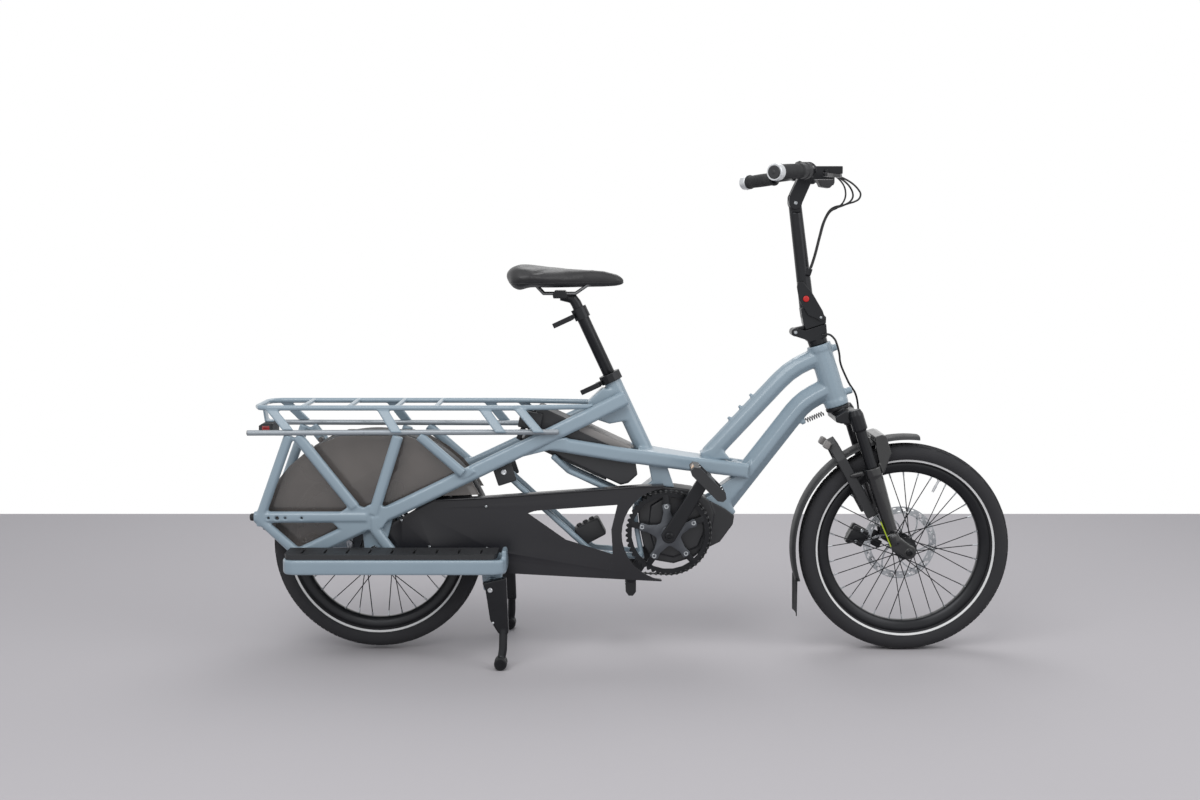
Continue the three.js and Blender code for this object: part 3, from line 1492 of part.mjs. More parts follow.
function saddle() {
  const back = (saddleBackShare - 1) * saddleLength;
  const rings = saddleShares.map(([u, w, top, low]) => {
    const x = back + u * saddleLength;
    const half = (w * saddleWidth) / 2;
    const z = (v) => (low + v * (top - low)) * saddleHeight;
    const right = saddleRingShares.map(([y, v]) => [x, -y * half, z(v)]);
    const left = saddleRingShares.slice(1).reverse().map(([y, v]) => [x, y * half, z(v)]);
    return [...right, [x, 0, z(0)], ...left];
  });
  return cut(loft(rings), saddleRails(weldGap));
}

// Fork, in the tilted frame of the steering axis, with its origin at the head tube's lower end.
const leg = (side) => [legForward, (side * legSpread) / 2];

const hoseRoute = [[12, -25.1, 176], [20, -31, 177], [32, -34, 168], [38, -30, 150], [39, -18, 122],
  [38, 6, 90], [46, 24, 40],
  [57, 48, 4], [55, 74, -42], [42, 92, -100], [31, 96, -160], [30, 96, -262], [26, 89, -300]];
function forkUpper() {
  const r = steererDiameter / 2;
  const snug = (headBore / 2) * Math.cos(Math.PI / 16) - bearingFit;
  const step = snug - r;
  const steerer = stood([
    [0, -headRingHeight],
    [r * 1.5, -headRingHeight],
    [headRingDiameter / 2, -headRingHeight * 0.6],
    [headRingDiameter / 2, -crownFace],
    [snug, -crownFace],
    [snug, bearingHeight],
    [r, bearingHeight + step],
    [r, headLength - bearingHeight - step],
    [snug, headLength - bearingHeight],
    [snug, headLength + crownFace],
    [r, headLength + crownFace],
    [r, headLength + baseRise],
    [0, headLength + baseRise],
  ], 16);
  const [x] = leg(1);
  const crownShares = [[-0.7, -0.25], [0.2, -0.15], [1.2, -0.3], [1.55, -0.45], [1.55, -0.75], [0.6, -0.72],
    [-0.4, -0.55],
    [-0.75, -0.45]];
  const crown = plate(crownShares.map(([u, v]) => [u * x, v * socketDrop]), -legSpread / 2, legSpread / 2);
  const legs = [-1, 1].flatMap((side) => {
    const y = leg(side)[1];
    const socket = stood([[0, -socketDrop], [socketDiameter / 2, -socketDrop],
      [socketDiameter / 2, -socketDrop * 0.4],
      [socketDiameter * 0.38, -socketDrop + socketLength], [0, -socketDrop + socketLength]], 12, [x, y, 0]);
    const stanchion = rod([x, y, -socketDrop + overrun], [x, y, -stanchionReach], stanchionDiameter, 12);
    return [socket, stanchion];
  });
  return join(steerer, crown, ...legs);
}

function forkLower() {
  const axle = [forkOffset, -forkDrop];
  const [x] = leg(1);
  const top = lowerTopDiameter / 2;
  const foot = lowerFootDiameter / 2;
  const drop = lowerFoot - lowerTop;
  const legs = [-1, 1].map((side) => {
    const y = leg(side)[1];
    const outer = stood([[0, -lowerFoot], [foot * 0.8, -lowerFoot], [foot, -lowerFoot + foot * 0.4],
      [foot * 1.12, -lowerTop - drop * 0.7], [top * 0.86, -lowerTop - drop * 0.3],
        [top * 0.9, -lowerTop - drop * 0.12],
      [top, -lowerTop - drop * 0.1], [top, -lowerTop], [0, -lowerTop]], 12, [x, y, 0]);
    const inner = side * (Math.abs(y) - dropPlateWidth / 2);
    const outerFace = side * (Math.abs(y) + dropPlateWidth / 2);
    const lobe = arc(axle, frontAxleDiameter * 1.25, -120, 60, 8);
    const hull = plate([...lobe, [x + foot, -lowerFoot + foot], [x - foot, -lowerFoot + foot],
      [x - foot * 0.8, -lowerFoot - foot * 0.7]],
      inner, outerFace);
    return join(outer, hull);
  });
  const crest = -forkDrop + frontMudguardRadius + weldGap / 2;
  const front = x + top + archHeight * 2.4;
  const sideShares = [[0.1, 0], [0.45, -0.15], [1, 0.45], [1, 1], [0.5, 1.1], [0.42, 0.8], [0.36, 0.25],
    [0.1, 0.18]];
  const sides = [-1, 1].map((side) => {
    const outer = (side * archWidth) / 2;
    const outline = sideShares.map(([u, v]) => [x + u * (front - x),
      -lowerTop - archHeight + v * (crest + lowerTop + archHeight)]);
    return plate(outline, outer - side * archPlate, outer);
  });
  const bridge = plate([[x + top * 1.15, crest], [front, crest], [front, crest + archHeight * 0.6],
    [front - archHeight * 0.7, crest + archHeight], [x + top * 1.3, crest + archHeight]], -archWidth / 2,
      archWidth / 2);
  const bores = [-1, 1].map((side) => rod([x, leg(side)[1], -lowerTop + overrun],
    [x, leg(side)[1], -lowerBoreDepth],
    stanchionDiameter + 2 * slideGap, 12));
  const axleRod = rod(at(axle, -legSpread / 2 - dropPlateWidth * 0.8), at(axle,
    legSpread / 2 + dropPlateWidth * 0.8),
    frontAxleDiameter, 12);
  const lockBosses = [-1, 1].map((side) => {
    const lean = rad(lockTilt);
    const z = -lockTopDrop - lockBossDrop * Math.cos(lean);
    const back = forkOffset - lockBack + lockBossDrop * Math.sin(lean);
    return rod([x, leg(side)[1], z], [back, side * (tyreWidth / 2 + lockGap + lockWall * 0.6), z],
      lockBossDiameter, 8);
  });
  const clipZ = hoseRoute.at(-2)[2];
  const clip = rod([x, leg(1)[1], clipZ], [hoseRoute.at(-2)[0],
    hoseRoute.at(-2)[1] - hoseDiameter / 2 - 3 * weldGap, clipZ],
    hoseClipDiameter, 8);
  const body = cut(join(...legs, ...sides, bridge, ...lockBosses, clip), ringLock(weldGap));
  return join(cut(body, ...bores), axleRod);
}

// A wheel lock behind the fork: a horseshoe body round the rim's height, clear of the tyre.
function ringLock(grow = 0) {
  const w = tyreWidth / 2 + lockGap - grow;
  const outer = w + lockWall + 2 * grow;
  const depth = lockDepth + 2 * grow;
  const s = lockShoulder;
  const arch = [
    [-outer, -lockHeight], [-outer, -s], [-outer * 0.7, -0.14 * s], [0, 0.14 * s], [outer * 0.7, -0.14 * s],
    [outer, -s], [outer, -lockHeight], [w, -lockHeight], [w, -0.9 * s], [w * 0.6, -0.45 * s], [0, -0.32 * s],
    [-w * 0.6, -0.45 * s], [-w, -0.9 * s], [-w, -lockHeight],
  ];
  const lean = rad(lockTilt);
  const place = new THREE.Matrix4().makeBasis(
    across.clone(),
    new THREE.Vector3(-Math.sin(lean), 0, Math.cos(lean)),
    new THREE.Vector3(Math.cos(lean), 0, Math.sin(lean)),
  );
  place.setPosition(forkOffset - lockBack, 0, -lockTopDrop);
  return carried(slab(arch, -depth / 2, depth / 2), place);
}

function frontCaliper() {
  const axle = [forkOffset, -forkDrop];
  const [x, y] = leg(1);
  const spread = frontDiscSpread;
  const outline = caliperShares.map(([u, v]) => [axle[0] + u * discRadius, axle[1] + v * discRadius]);
  const body = plate(outline, spread - archPlate, y + lowerFootDiameter * 0.3);
  const slot = plate(circle(axle, discRadius + 2 * runningGap, 24), spread - discThickness * 2,
    spread + discThickness * 2);
  const legRoom = stood([[0, -lowerFoot - overrun], [lowerTopDiameter / 2, -lowerFoot - overrun],
    [lowerTopDiameter / 2, -lowerTop], [0, -lowerTop]], 12, [x, y, 0]);
  return cut(body, slot, legRoom);
}

// Handlepost: a clamp on the steerer, a fold hinge behind it and the latch in front.
const foldPivot = [-foldBack, headLength + foldRise];
const steeringToPost = new THREE.Matrix4().makeRotationY(headTilt)
  .setPosition(foldPivot[0], 0, foldPivot[1]).invert();

function handlepostBase() {
  const r = steererDiameter / 2 + weldGap;
  const half = baseWidth / 2;
  const low = headLength + crownFace + weldGap;
  const face = headLength + hingeFaceRise;
  const ring = stood([[r, low], [half, low], [half * 1.04, low + (face - low) / 2],
    [0, low + (face - low) / 2],
    [0, headLength + baseRise + weldGap], [r, headLength + baseRise + weldGap], [r, low]], 16);
  const blockShares = [[-1, 0.3], [1, 0.3], [1.28, 1], [-1.5, 1], [-1.3, 0.6]];
  const block = plate(blockShares.map(([u, v]) => [u * half, low + v * (face - low)]), -half, half);
  const knuckle = plate([...arc(foldPivot, knuckleDiameter / 2, 80, 260, 6), [-half,
    low + (face - low) * 0.4], [-half, face]],
    -half, half);
  const room = rod(at(foldPivot, -knuckleWidth / 2 - runningGap), at(foldPivot,
    knuckleWidth / 2 + runningGap),
    knuckleDiameter + 2 * runningGap, 16);
  const clear = knuckleWidth / 2 + runningGap;
  const swing = plate([[-half * 3, face], [half * 2, face], [half * 2, face + half],
    [-half * 3, face + half]], -clear, clear);
  const bore = stood([[0, low - overrun], [r, low - overrun], [r, headLength + baseRise + weldGap],
    [0, headLength + baseRise + weldGap]], 16);
  const pin = rod(at(foldPivot, -half - overrun / 2), at(foldPivot, half + overrun / 2), foldPinDiameter, 8);
  return join(cut(join(ring, block, knuckle), room, swing, bore), pin);
}

// The post, in an upright frame about the fold pivot.
function handlepost() {
  const half = baseWidth / 2;
  const face = headLength + hingeFaceRise + weldGap;
  const footShares = [[-0.9, 0], [1.28, 0], [1.5, 0.35], [0.6, 1.4], [-0.75, 1.3], [-0.95, 0.4]];
  const foot = plate(footShares.map(([u, v]) => [u * half, face + v * postFootHeight]), -half * 0.8,
    half * 0.8);
  const tongue = plate([...arc(foldPivot, knuckleDiameter / 2, 90, 348, 8), [-half * 0.9, face],
    [-half * 0.9, face + knuckleDiameter / 2]],
    -knuckleWidth / 2, knuckleWidth / 2);
  const pinHole = rod(at(foldPivot, -knuckleWidth), at(foldPivot, knuckleWidth),
    foldPinDiameter + 2 * runningGap, 8);
  const lowPart = carried(cut(join(foot, tongue), pinHole), steeringToPost);
  const r0 = postFootDiameter / 2;
  const r1 = postHeadDiameter / 2;
  const tubeMatrix = new THREE.Matrix4().makeRotationY(-rad(postTilt)).setPosition(postFootForward, 0,
    postFootRise);
  const shaft = carried(stood([[0, 0], [r0, 0], [r1, postLength], [0, postLength]], 16), tubeMatrix);
  const barrel = rod(at(stemPivot, -stemTongue / 2), at(stemPivot, stemTongue / 2), postHeadDiameter, 16);
  const stemHole = rod(at(stemPivot, -stemWidth), at(stemPivot, stemWidth),
    foldPinDiameter + 2 * runningGap, 8);
  const latchEye = plate([...arc(latchPivot, latchPinDiameter * 1.3, -90, 90, 6), [latchPivot[0] - half,
    latchPivot[1] + half * 0.6],
    [latchPivot[0] - half, latchPivot[1] - half * 0.5]], -half * 0.8, half * 0.8);
  const latchPin = rod(at(latchPivot, 0), at(latchPivot, -half * 0.8 - latchWidth - 2 * weldGap),
    latchPinDiameter, 8);
  const cheeks = [-1, 1].map((side) => box([stemPivot[0] - stemWidth, side > 0 ? stemTongue / 2 : -stemWidth,
    stemPivot[1] - postHeadDiameter * 0.72], [stemPivot[0] + stemWidth,
      side > 0 ? stemWidth : -stemTongue / 2,
    stemPivot[1] + postHeadDiameter]));
  const end = new THREE.Vector3(...cableRoute.at(-1));
  const inward = end.clone().sub(new THREE.Vector3(...cableRoute.at(-2))).normalize();
  const entry = rod(end.clone().addScaledVector(inward, weldGap).toArray(),
    end.clone().addScaledVector(inward, cableEntryLength).toArray(), cableEntryDiameter, 8);
  return join(cut(join(lowPart, shaft, barrel, latchEye, entry), stemHole, ...cheeks), latchPin);
}

// The top of the post, where the stem tilts, and the latch's pin, both from the fold pivot.
const stemPivot = [
  postFootForward - Math.sin(rad(postTilt)) * postLength,
  postFootRise + Math.cos(rad(postTilt)) * postLength,
];
const latchPivot = [postFootForward + latchForward, postFootRise + latchRise];
const catchPlace = [-0.36 * latchLength, 0.44 * latchLength];

// The latch lever along the post's right side, in its own frame about its pin.
function latchLever() {
  const face = -baseWidth * 0.4 - weldGap;
  const outline = [
    ...arc([0, 0], latchPinDiameter * 1.3, -150, 30, 7),
    ...latchShares.map(([u, v]) => [u * latchLength, v * latchLength]),
  ];
  const eye = circle([0, 0], latchPinDiameter / 2 + runningGap, 8);
  const seat = circle(catchPlace, catchDiameter / 2 + slideGap, 12);
  return plate(outline, face - latchWidth, face, [eye, seat]);
}

function latchCatch() {
  const face = -baseWidth * 0.4 - weldGap;
  const r = catchDiameter / 2;
  const deep = catchTravel + 2 * weldGap;
  return turned([[0, 0], [r, 0], [r, latchWidth - deep + catchTravel * 0.6],
    [r * 0.7, latchWidth - deep + catchTravel],
    [0, latchWidth - deep + catchTravel]].map(([x, y]) => [x, -y]), 14, catchPlace, face - deep);
}

// Stem and bar, about the stem's pivot.
const barPlace = [barForward, barRise];

function stem() {
  const r = postHeadDiameter / 2;
  const half = stemWidth / 2;
  const inner = stemTongue / 2 + weldGap;
  const clampR = barClampDiameter / 2;
  const outline = [
    ...arc([0, 0], r, 180, 360, 8),
    [barPlace[0] + clampR * 0.8, barPlace[1] - clampR * 0.5],
    ...arc(barPlace, clampR, 0, 180, 8),
    [barPlace[0] - clampR * 0.95, barPlace[1] - clampR * 0.4],
    [-r, r * 0.9],
  ];
  const body = plate(outline, -half, half);
  const gapTop = r * 1.25;
  const room = plate([[-r * 3, -r * 3], [r * 3, -r * 3], [r * 3, gapTop], [-r * 3, gapTop]], -inner, inner);
  const clamp = turned([[0, -barClampWidth / 2], [clampR, -barClampWidth / 2], [clampR, barClampWidth / 2],
    [0, barClampWidth / 2]],
    18, barPlace);
  const bore = rod(at(barPlace, -barClampWidth), at(barPlace, barClampWidth), barDiameter + 2 * weldGap, 12);
  const pin = rod([0, -half, 0], [0, half, 0], foldPinDiameter, 8);
  return join(cut(join(body, clamp), room, bore), pin);
}

// Half of the bar's path, from its middle to one end.
function barCorners(side) {
  const half = barEndSpread / 2;
  return [[0, 0.14, 0], [-0.045, 0.53, -0.02], [-0.36, 1, -0.053]].map(([u, y, v]) =>
    [barPlace[0] + u * half, side * y * half, barPlace[1] + v * half]);
}

function barTube(grow = 0) {
  const corners = [...barCorners(-1).reverse(), ...barCorners(1)];
  return tube(bent(corners, barBend, 2), round(barDiameter, 8), up, grow);
}

// A place along the bar's outer straight, measured back from its end.
function alongGrip(side, back) {
  const [, corner, end] = barCorners(side).map((place) => new THREE.Vector3(...place));
  const way = corner.clone().sub(end).normalize();
  return end.addScaledVector(way, back).toArray();
}

function sleeve(side, from, to, diameter, sides) {
  return rod(alongGrip(side, from), alongGrip(side, to), diameter, sides);
}

function grip(side) {
  const rubber = sleeve(side, 0, gripLength, gripDiameter, 12);
  const clamp = sleeve(side, -gripEndLength * 0.2, gripEndLength, gripEndDiameter, 12);
  return cut(join(rubber, clamp), barTube(weldGap));
}

function twistShifter() {
  const from = gripLength + runningGap;
  const ring = sleeve(-1, from, from + shifterLength * 0.7, shifterDiameter, 12);
  const housing = sleeve(-1, from + shifterLength * 0.6, from + shifterLength, shifterDiameter * 1.1, 12);
  const bore = sleeve(-1, from - overrun, from + shifterLength + overrun,
    barDiameter * barCornerShare + 2 * slideGap, 16);
  return cut(join(ring, housing), bore);
}

// Where a brake lever clamps on the inner straight, and its blade's pivot in front.
function leverSeat(side) {
  const [inner, corner] = barCorners(side).map((place) => new THREE.Vector3(...place));
  const way = inner.clone().sub(corner).normalize();
  return { place: corner.clone().addScaledVector(way, leverClampWidth * 2.1), way };
}

function bladePivot(side) {
  const { place } = leverSeat(side);
  return [place.x + bladeForward, place.y + side * leverClampWidth * 1.2, place.z - bladeDrop];
}

function handlebar() {
  const mounts = [-1, 1].map((side) => {
    const { place, way } = leverSeat(side);
    const half = leverClampWidth / 2;
    const from = place.clone().addScaledVector(way, -half).toArray();
    const to = place.clone().addScaledVector(way, half).toArray();
    const ring = rod(from, to, leverClampDiameter, 8);
    const pivot = bladePivot(side);
    const y = [place.y, pivot[1] + side * brakeBladeWidth * 0.5];
    const arm = slab([[place.x, Math.min(...y)], [pivot[0] - brakeBladeWidth, Math.min(...y)],
      [pivot[0] - brakeBladeWidth, Math.max(...y)], [place.x + barDiameter / 2, Math.max(place.y,
        place.y + side * half)]],
      pivot[2] - brakeBladeThickness, place.z + brakeBladeThickness);
    const tip = slab([[pivot[0] - brakeBladeWidth * 1.2, pivot[1] - brakeBladeWidth * 0.5],
      [pivot[0] + brakeBladeWidth * 0.5, pivot[1] - brakeBladeWidth * 0.5],
      [pivot[0] + brakeBladeWidth * 0.5, pivot[1] + brakeBladeWidth * 0.5],
      [pivot[0] - brakeBladeWidth * 1.2, pivot[1] + brakeBladeWidth * 0.5]],
      pivot[2] + brakeBladeThickness / 2 + runningGap, place.z + brakeBladeThickness);
    return join(ring, arm, tip);
  });
  return join(barTube(), ...mounts);
}

// A brake blade about its pivot, lying beside the grip.
function brakeBlade(side) {
  const [, corner, end] = barCorners(side);
  const length = Math.hypot(end[0] - corner[0], end[1] - corner[1]);
  const way = [(end[0] - corner[0]) / length, (end[1] - corner[1]) / length];
  const out = [side * way[1], -side * way[0]];
  const l = brakeBladeLength;
  const w = brakeBladeWidth;
  const point = (u, v) => [u * l * way[0] + v * w * out[0], u * l * way[1] + v * w * out[1]];
  const outlineShares = [[-0.06, 0.3], [0.12, 0.5], [0.5, 0.42], [0.92, 0.75], [1, 0.6], [1, 0.1],
    [0.9, 0.05], [0.5, -0.3],
    [0.12, -0.4], [-0.06, -0.3]];
  return slab(outlineShares.map(([u, v]) => point(u, v)), -brakeBladeThickness / 2, brakeBladeThickness / 2);
}

function headlight() {
  const [x, z] = barPlace;
  const clampR = (barClampDiameter / 2) * lampSeatShare;
  const outlineShares = [[0, -0.15], [0.15, 0.12], [1, 0.12], [1, -0.72], [0.75, -1], [0.25, -0.92],
    [0.1, -0.6], [0, -0.45]];
  return plate(outlineShares.map(([u, v]) => [x + clampR + u * lampDepth, z + v * lampHeight]),
    -lampWidth / 2, lampWidth / 2);
}

// A cable bundle from the controls down the front of the post, in the post's frame.
const cableRoute = [[46, -118, 370], [84, -84, 366], [124, -48, 350], [146, -32, 328], [140, -30, 312],
  [112, -29, 302],
    [80, -24, 292], [62, -22, 262], [52, -20, 224], [44, -19, 190], [38, -17.5, 168], [32.9, -15.6, 152]];

function controlCables() {
  return tube(cableRoute, round(cableBundleDiameter, 8));
}

// The front brake's hose from the post's foot past the head tube to the caliper, in the steering frame.
function brakeHose() {
  return tube(hoseRoute, round(hoseDiameter, 8));
}

// The coil spring that steadies the steering, from the down tube to the crown.
function steeringSpring() {
  const from = new THREE.Vector3(...at(spot(springFootShares), 0));
  const to = new THREE.Vector3(...at(spot(springHeadShares), 0));
  const way = to.clone().sub(from);
  const length = way.length();
  way.normalize();
  const side = across.clone();
  const lift = way.clone().cross(side);
  const steps = springTurns * 8;
  const radius = (springDiameter - springWireDiameter) / 2;
  const path = Array.from({ length: steps + 1 }, (_, i) => {
    const angle = (2 * Math.PI * i) / 8;
    return from.clone()
      .addScaledVector(way, (length * i) / steps)
      .addScaledVector(side, radius * Math.cos(angle))
      .addScaledVector(lift, radius * Math.sin(angle)).toArray();
  });
  return tube(path, round(springWireDiameter, 5), way);
}

// The stand: two plates on the rod that turns in the frame's sleeve, with tube feet on rollers.
function stand() {
  const drop = standPivot[1];
  const legs = [-1, 1].flatMap((side) => {
    const middle = side * standSpread / 2;
    const outline = standLegShares.map(([u, v]) => [u * drop, v * drop]);
    const foot = [standFootForward, standFootDiameter / 2 - drop];
    const footY = side * standFootSpread / 2;
    return [
      plate(outline, middle - standLegThickness / 2, middle + standLegThickness / 2),
      tube([[standFootForward * 1.25, middle, -drop * 0.5], [standFootForward * 1.2,
        side * standFootSpread * 0.48, -drop * 0.76],
        at(foot, footY)], round(standTubeDiameter, 8)),
      rod(at(foot, footY - standFootWidth / 2), at(foot, footY + standFootWidth / 2), standFootDiameter, 16),
    ];
  });
  const turn = rod([0, -standSpread / 2, 0], [0, standSpread / 2, 0], standRodDiameter, 12);
  return join(turn, ...legs);
}

function rearAxleRod() {
  const half = dropoutSpacing / 2 + dropoutThickness;
  const y = half + axleNutLength;
  const nut = (side) => rod(at(rearAxle, side * (half + weldGap)), at(rearAxle, side * y), axleNutDiameter,
    6);
  return join(rod(at(rearAxle, -y), at(rearAxle, y), axleDiameter, 12), nut(-1), nut(1));
}

// The gear hub's cable drum on the axle, between sprocket and dropout.
function hubDrum() {
  const outer = dropoutSpacing / 2 - weldGap;
  const inner = chainLine + chainWidth;
  const r = axleDiameter / 2 + weldGap;
  const out = axleNutDiameter;
  return turned(closed([[r, -inner], [out * 0.7, -inner], [out, -inner - (outer - inner) * 0.3],
    [out, -outer], [r, -outer]]),
    16, rearAxle);
}

// The bicycle, put together.
function seatGroup() {
  const lugBack = (outer) => -outer - quickBoltDiameter;
  const leverOut = -(collarHeight * 0.4 + quickBoltDiameter * 0.9 + weldGap);
  const lowOuter = seatTubeDiameter / 2 + weldGap + collarWall;
  const highOuter = seatPostDiameter / 2 + collarWall * 0.8;
  const lowHeight = (weldGap - collarHeight * 0.55) / 2;
  const highHeight = outerPostLength - outerPostInside - collarHeight / 2;
  const saddleFrame = group(saddleClamp(), seatLean,
    mesh("saddle_rails", saddleRails(), "steel"),
    mesh("saddle", saddle(), "plastic"));
  return group(at(seatTubeTop, 0), -seatLean,
    mesh("seat_collar", seatCollar(), "black"),
    group([lugBack(lowOuter), leverOut, lowHeight], 0, mesh("lower_quick_release", quickLever(), "black")),
    mesh("seatpost_outer", outerPost(), "black"),
    group([lugBack(highOuter), leverOut, highHeight], 0, mesh("upper_quick_release", quickLever(), "black")),
    mesh("seatpost_inner", innerPost(), "black"),
    saddleFrame);
}

function steeringGroup() {
  const blades = [-1, 1].map((side) => group(bladePivot(side), 0,
    mesh(side < 0 ? "brake_lever_right" : "brake_lever_left", brakeBlade(side), "black")));
  const stemGroup = group(at(stemPivot, 0), 0,
    mesh("stem", stem(), "black"),
    mesh("handlebar", handlebar(), "black"),
    mesh("grip_right", grip(-1), "rubber"),
    mesh("grip_left", grip(1), "rubber"),
    mesh("twist_shifter", twistShifter(), "plastic"),
    mesh("headlight", headlight(), "plastic"),
    ...blades);
  const latchGroup = group(at(latchPivot, 0), 0,
    mesh("latch_lever", latchLever(), "black"),
    mesh("latch_button", latchCatch(), "red"));
  const postGroup = group(at(foldPivot, 0), headTilt,
    mesh("handlepost", handlepost(), "black"),
    mesh("control_cables", controlCables(), "rubber"),
    latchGroup,
    stemGroup);
  const wheel = group([forkOffset, 0, -forkDrop], headTilt,
    mesh("front_tyre", tyre(), "rubber"),
    mesh("front_wheel", frontWheel(), "black"));
  return group(at(headLow, 0), -headTilt,
    mesh("fork_upper", forkUpper(), "black"),
    mesh("handlepost_base", handlepostBase(), "black"),
    mesh("brake_hose", brakeHose(), "rubber"),
    postGroup,
    mesh("fork_lower", forkLower(), "black"),
    mesh("front_mudguard", frontMudguard(), "plastic"),
    mesh("ring_lock", ringLock(), "black"),
    mesh("front_caliper", frontCaliper(), "black"),
    wheel);
}

function crankGroup() {
  const turn = -rad(crankAngle);
  const arm = (side) => {
    const matrix = new THREE.Matrix4().makeRotationY(side < 0 ? turn : turn + Math.PI);
    return carried(crankArm(side), matrix);
  };
  const pedalPlace = (side) => {
    const angle = rad(crankAngle) + (side < 0 ? 0 : Math.PI);
    return [crankLength * Math.cos(angle), 0, crankLength * Math.sin(angle)];
  };
  return group(at(crankAxle, 0), 0,
    mesh("chainring", chainring(), "black"),
    mesh("crank_arm_right", arm(-1), "black"),
    mesh("crank_arm_left", arm(1), "black"),
    group(pedalPlace(-1), rad(pedalPitch), mesh("pedal_right", pedal(-1), "plastic")),
    group(pedalPlace(1), Math.PI / 2, mesh("pedal_left", pedal(1), "plastic")));
}

const bike = new THREE.Group();
bike.add(
  mesh("front_frame", frontFrame(), "frame"),
  mesh("centre_frame", centreFrame(), "frame"),
  mesh("rear_frame_right", rearFrame(-1), "frame"),
  mesh("rear_frame_left", rearFrame(1), "frame"),
  mesh("upper_rack", upperRack(), "frame"),
  mesh("side_rail_right", sideRail(-1), "frame"),
  mesh("side_rail_left", sideRail(1), "frame"),
  mesh("footboard_right", footboard(-1), "frame"),
  mesh("footboard_left", footboard(1), "frame"),
  mesh("footboard_deck_right", footboardDeck(-1), "plastic"),
  mesh("footboard_deck_left", footboardDeck(1), "plastic"),
  mesh("wheel_guard_right", wheelGuard(-1), "smoked"),
  mesh("wheel_guard_left", wheelGuard(1), "smoked"),
  mesh("rear_mudguard", rearMudguard(), "plastic"),
  mesh("chain_case", chainCase(), "plastic"),
  mesh("motor", motor(), "black"),
  mesh("battery", battery(), "plastic"),
  mesh("battery_rail", batteryRail(), "plastic"),
  mesh("tail_light", tailLight(), "red"),
  mesh("rear_axle", rearAxleRod(), "steel"),
  mesh("hub_drum", hubDrum(), "plastic"),
  mesh("chain", chain(), "steel"),
  mesh("steering_spring", steeringSpring(), "steel"),
  group(at(rearAxle, 0), 0,
    mesh("rear_tyre", tyre(), "rubber"),
    mesh("rear_wheel", rearWheel(), "black"),
    mesh("sprocket", sprocket(), "steel")),
  group(at(standPivot, 0), 0, mesh("stand", stand(), "black")),
  crankGroup(),
  seatGroup(),
  steeringGroup(),
);

// The model's origin lies on the ground under the middle of the bicycle's length.
const front = frontAxle[0] + tyreRadius;
const [back] = spot([-0.263, 0.84]);
bike.children.forEach((piece) => {
  piece.position.x -= (front + back) / 2;
});

export default bike;
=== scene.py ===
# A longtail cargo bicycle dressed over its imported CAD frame, in metres.
# x is forward, z is up, the chain runs on the right at -y.
import json
import math

import bmesh
import bpy
from mathutils import Matrix, Vector
from mathutils.bvhtree import BVHTree


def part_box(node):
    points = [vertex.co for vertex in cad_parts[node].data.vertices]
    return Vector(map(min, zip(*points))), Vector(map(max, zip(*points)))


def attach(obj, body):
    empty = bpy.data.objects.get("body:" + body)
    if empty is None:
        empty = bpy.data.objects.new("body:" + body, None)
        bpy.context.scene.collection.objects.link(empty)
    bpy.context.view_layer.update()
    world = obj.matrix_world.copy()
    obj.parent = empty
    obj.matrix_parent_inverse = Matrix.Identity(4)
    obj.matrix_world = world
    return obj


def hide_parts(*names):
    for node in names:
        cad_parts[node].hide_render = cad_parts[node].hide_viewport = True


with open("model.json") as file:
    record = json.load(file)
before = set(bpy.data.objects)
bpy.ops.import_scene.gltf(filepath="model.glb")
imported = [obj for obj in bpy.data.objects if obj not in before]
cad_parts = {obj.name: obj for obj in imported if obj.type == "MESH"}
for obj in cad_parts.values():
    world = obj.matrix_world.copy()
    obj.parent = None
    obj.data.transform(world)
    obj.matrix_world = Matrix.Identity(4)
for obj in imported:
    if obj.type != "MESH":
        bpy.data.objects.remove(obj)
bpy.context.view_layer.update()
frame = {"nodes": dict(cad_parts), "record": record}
mm = 0.001
bodyOf = {node: body for body, nodes in frame["record"]["behaviour"]["bodies"].items() for node in nodes}
print("stage: frame loaded,", len(frame["nodes"]), "nodes")


# Camera, floor, backdrop and light

studio = {
    "cameraPlace": (-0.0818, -3.470, 1.006),
    "cameraPitch": 83.52,
    "lens": 43.5,
    "sensor": 36,
    "floorHalf": (3.4, 1.72),
    "floorColour": "#bab7ba",
    "worldColour": "#f4f6fa",
    "worldStrength": 0.54,
    # place, width in metres, watts and the height aimed at
    "softboxes": {
        "keySoftbox": ((-1.2, -2.6, 3.1), 2.6, 66, 0.4),
        "fillSoftbox": ((2.4, -1.6, 2.2), 2.2, 28, 0.5),
        "backSoftbox": ((0.2, 1.9, 3.0), 2.0, 28, 0.5),
    },
}


def linear(text):
    # sRGB hex to the linear values that sockets take
    parts = [int(text[i:i + 2], 16) / 255 for i in (1, 3, 5)]
    return tuple(c / 12.92 if c <= 0.04045 else ((c + 0.055) / 1.055) ** 2.4 for c in parts) + (1.0,)


def addNode(tree, kind, settings=None, links=None):
    # settings go to sockets where the name is one, else to the node itself
    node = tree.nodes.new(kind)
    for key, value in (settings or {}).items():
        if not isinstance(key, int) and key not in node.inputs:
            setattr(node, key, value)
    for key, value in (settings or {}).items():
        if isinstance(key, int) or key in node.inputs:
            node.inputs[key].default_value = value
    for key, (source, output) in (links or {}).items():
        tree.links.new(source.outputs[output], node.inputs[key])
    return node


def linkObject(obj):
    bpy.context.scene.collection.objects.link(obj)
    return obj


def makeCamera():
    data = bpy.data.cameras.new("viewCamera")
    data.lens = studio["lens"]
    data.sensor_width = studio["sensor"]
    camera = linkObject(bpy.data.objects.new("viewCamera", data))
    camera.location = studio["cameraPlace"]
    camera.rotation_euler = (math.radians(studio["cameraPitch"]), 0, 0)
    bpy.context.scene.camera = camera


